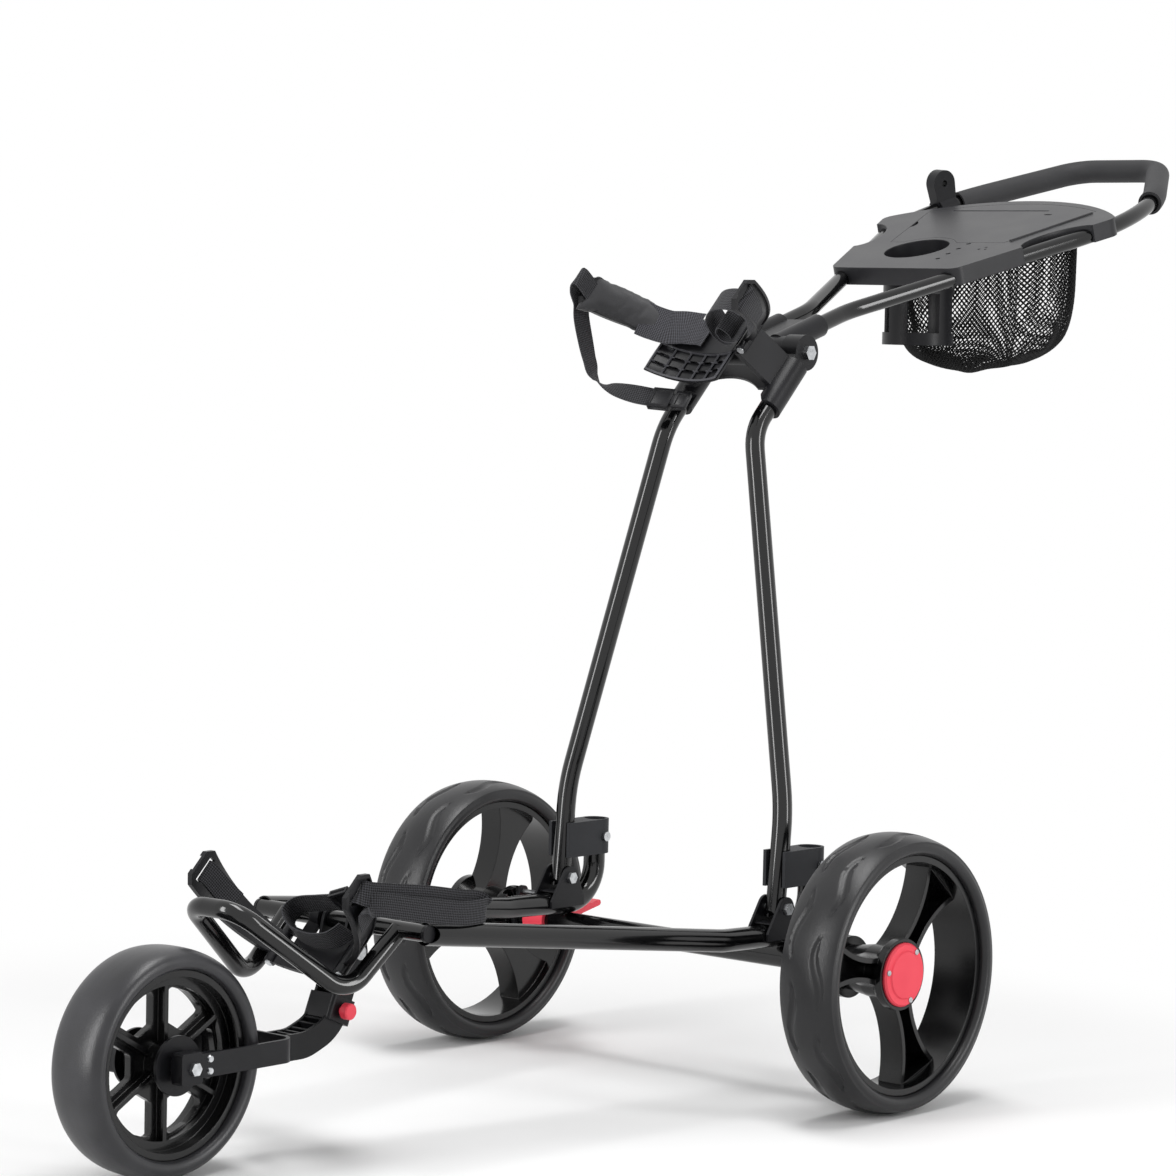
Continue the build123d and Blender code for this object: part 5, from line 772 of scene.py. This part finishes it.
# lower belt: a loose oval of webbing lying in the lower cradle, with its own buckle
belt = {"radius": 106.0, "route": [(44, 4, 14), (24, -7, 14), (-4, -10, 14), (-30, -6, 14), (-43, 8, 16), (-36, 22, 20),
                                   (-14, 31, 22), (8, 35, 23)]}  # (across, along, lift of its middle off the cradle)
spots = [(lower(x, math.sqrt(belt["radius"] ** 2 - x * x) - lift, w), bagBack) for x, w, lift in belt["route"]]
piece, length = layTape("lowerBelt", spots)
finishPiece(piece, "chassis", "webbing", angle=60)
piece = makeBuckle("lowerBuckle", lower(7, 82.5, 34.8), lower(40, -10, 8) - lower(0, 0, 0), bagBack)
finishPiece(piece, "chassis", "moulded_plastic")
print("stage: buckles and lower belt laid")

# latch spring: one wire section screwed round the button's axis
coil = {"middle": (-5.5, -533.635, 139.65), "radius": 3.4, "wire": 0.55, "length": 10.6, "turns": 5, "squashed": 0.62}
clearSelection()
bpy.ops.mesh.primitive_circle_add(vertices=10, radius=coil["wire"] * mm, rotation=(math.radians(90), 0, 0),
                                  location=(coil["radius"] * mm, 0, coil["wire"] * mm))
piece = takePiece("latchSpring")
bpy.ops.object.transform_apply(location=True, rotation=True, scale=True)
addModifier(piece, "SCREW", axis="Z", angle=math.tau, screw_offset=coil["length"] / coil["turns"] * mm,
            iterations=coil["turns"], steps=20, render_steps=20, use_normal_calculate=True)
bpy.ops.object.mode_set(mode="EDIT")
bpy.ops.mesh.select_all(action="SELECT")
bpy.ops.mesh.remove_doubles(threshold=0.00001)
bpy.ops.mesh.fill_holes(sides=0)
bpy.ops.mesh.select_all(action="SELECT")
bpy.ops.mesh.normals_make_consistent(inside=False)
bpy.ops.object.mode_set(mode="OBJECT")
piece.rotation_euler = (0, math.radians(90), 0)
piece.location = Vector(coil["middle"]) * mm
finishPiece(piece, "front_arm", "steel", "latch_spring", angle=60)
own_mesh(piece)
print("stage: latch spring coiled")

# camera, floor and studio light
shot = {
    "place": (2.90335, -3.48696, 0.87087),
    "turn": 41.386,
    "tilt": 3.398,
    "roll": 1.174,
    "lens": 123.985,
    "shift": (0.02533, -0.03917),
}
turn, tilt, roll = (math.radians(shot[key]) for key in ("turn", "tilt", "roll"))
backward = Vector((math.sin(turn) * math.cos(tilt), -math.cos(turn) * math.cos(tilt), math.sin(tilt)))
level = Vector((math.cos(turn), math.sin(turn), 0))
upward = backward.cross(level)
right = level * math.cos(roll) + upward * math.sin(roll)
upward = upward * math.cos(roll) - level * math.sin(roll)
bpy.ops.object.camera_add(location=shot["place"])
camera = bpy.context.active_object
camera.name = "photoCamera"
camera.rotation_euler = Matrix((right, upward, backward)).transposed().to_euler()
camera.data.sensor_width = 36.0
camera.data.lens = shot["lens"]
camera.data.shift_x, camera.data.shift_y = shot["shift"]
camera.data.clip_start, camera.data.clip_end = 0.1, 100.0
bpy.context.scene.camera = camera

# floor: matte white paper that keeps the shadow near the cart and runs into the white surroundings
bpy.ops.mesh.primitive_grid_add(x_subdivisions=8, y_subdivisions=8, size=60.0, location=(0, 0, 0))
floor = bpy.context.active_object
floor.name = "studioFloor"
paper = bpy.data.materials.new("whiteSeamlessPaper")
paper.use_nodes = True
tree = paper.node_tree
shader = tree.nodes["Principled BSDF"]
shader.inputs["Base Color"].default_value = colour("#f4f4f4")
shader.inputs["Roughness"].default_value = 0.9
shader.inputs["Specular IOR Level"].default_value = 0.1
place = addNode(tree, "ShaderNodeTexCoord", {})
fibre = addNode(tree, "ShaderNodeTexNoise", {"Vector": place.outputs["Object"], "Scale": perMm(3.0)})
bump = addNode(tree, "ShaderNodeBump", {"Height": fibre.outputs["Fac"], "Strength": 0.05, "Distance": 0.0003})
tree.links.new(bump.outputs["Normal"], shader.inputs["Normal"])
middle = addNode(tree, "ShaderNodeVectorMath", {0: place.outputs["Object"], 1: (0.0, 0.38, 0.0)}, operation="ADD")
far = addNode(tree, "ShaderNodeVectorMath", {0: middle.outputs["Vector"]}, operation="LENGTH")
fade = addNode(tree, "ShaderNodeMapRange", {"Value": far.outputs["Value"], "From Min": 0.5, "From Max": 1.35},
               interpolation_type="SMOOTHSTEP")
glow = addNode(tree, "ShaderNodeEmission", {"Color": colour("#ffffff"), "Strength": 1.0})
mix = addNode(tree, "ShaderNodeMixShader", {0: fade.outputs["Result"], 1: shader.outputs["BSDF"],
                                            2: glow.outputs["Emission"]})
tree.links.new(mix.outputs["Shader"], tree.nodes["Material Output"].inputs["Surface"])
floor.data.materials.append(paper)

# surroundings: white to the eye and to reflections, a plain soft level on the object
world = bpy.data.worlds.new("studio")
bpy.context.scene.world = world
world.use_nodes = True
tree = world.node_tree
ray = addNode(tree, "ShaderNodeLightPath", {})
seen = addNode(tree, "ShaderNodeMath", {0: ray.outputs["Is Camera Ray"], 1: ray.outputs["Is Glossy Ray"]},
               operation="MAXIMUM")
seen = addNode(tree, "ShaderNodeMath", {0: seen.outputs[0], 1: ray.outputs["Is Transmission Ray"]}, operation="MAXIMUM")
level = addNode(tree, "ShaderNodeMapRange", {"Value": seen.outputs[0], "To Min": 0.38, "To Max": 1.0})
tree.links.new(level.outputs["Result"], tree.nodes["Background"].inputs["Strength"])
tree.nodes["Background"].inputs["Color"].default_value = colour("#ffffff")

lamps = {
    "keyStripLeft": {"place": (-0.9, -3.4, 1.35), "aim": (0, -0.1, 0.7), "size": (0.7, 2.6), "power": 64},
    "keyStripRight": {"place": (3.4, 0.6, 1.35), "aim": (0, -0.1, 0.7), "size": (0.7, 2.6), "power": 56},
    "topPanel": {"place": (0.2, -0.2, 3.6), "aim": (0, -0.1, 0.4), "size": (0.9, 2.6), "power": 70},
}
for name, lamp in lamps.items():
    bpy.ops.object.light_add(type="AREA", location=lamp["place"])
    light = bpy.context.active_object
    light.name = name
    light.data.shape = "RECTANGLE"
    light.data.size, light.data.size_y = lamp["size"]
    light.data.energy = lamp["power"]
    light.rotation_euler = (Vector(lamp["aim"]) - Vector(lamp["place"])).to_track_quat("-Z", "Y").to_euler()
bpy.context.scene.view_settings.view_transform = "Standard"
print("stage: camera, floor and light set")
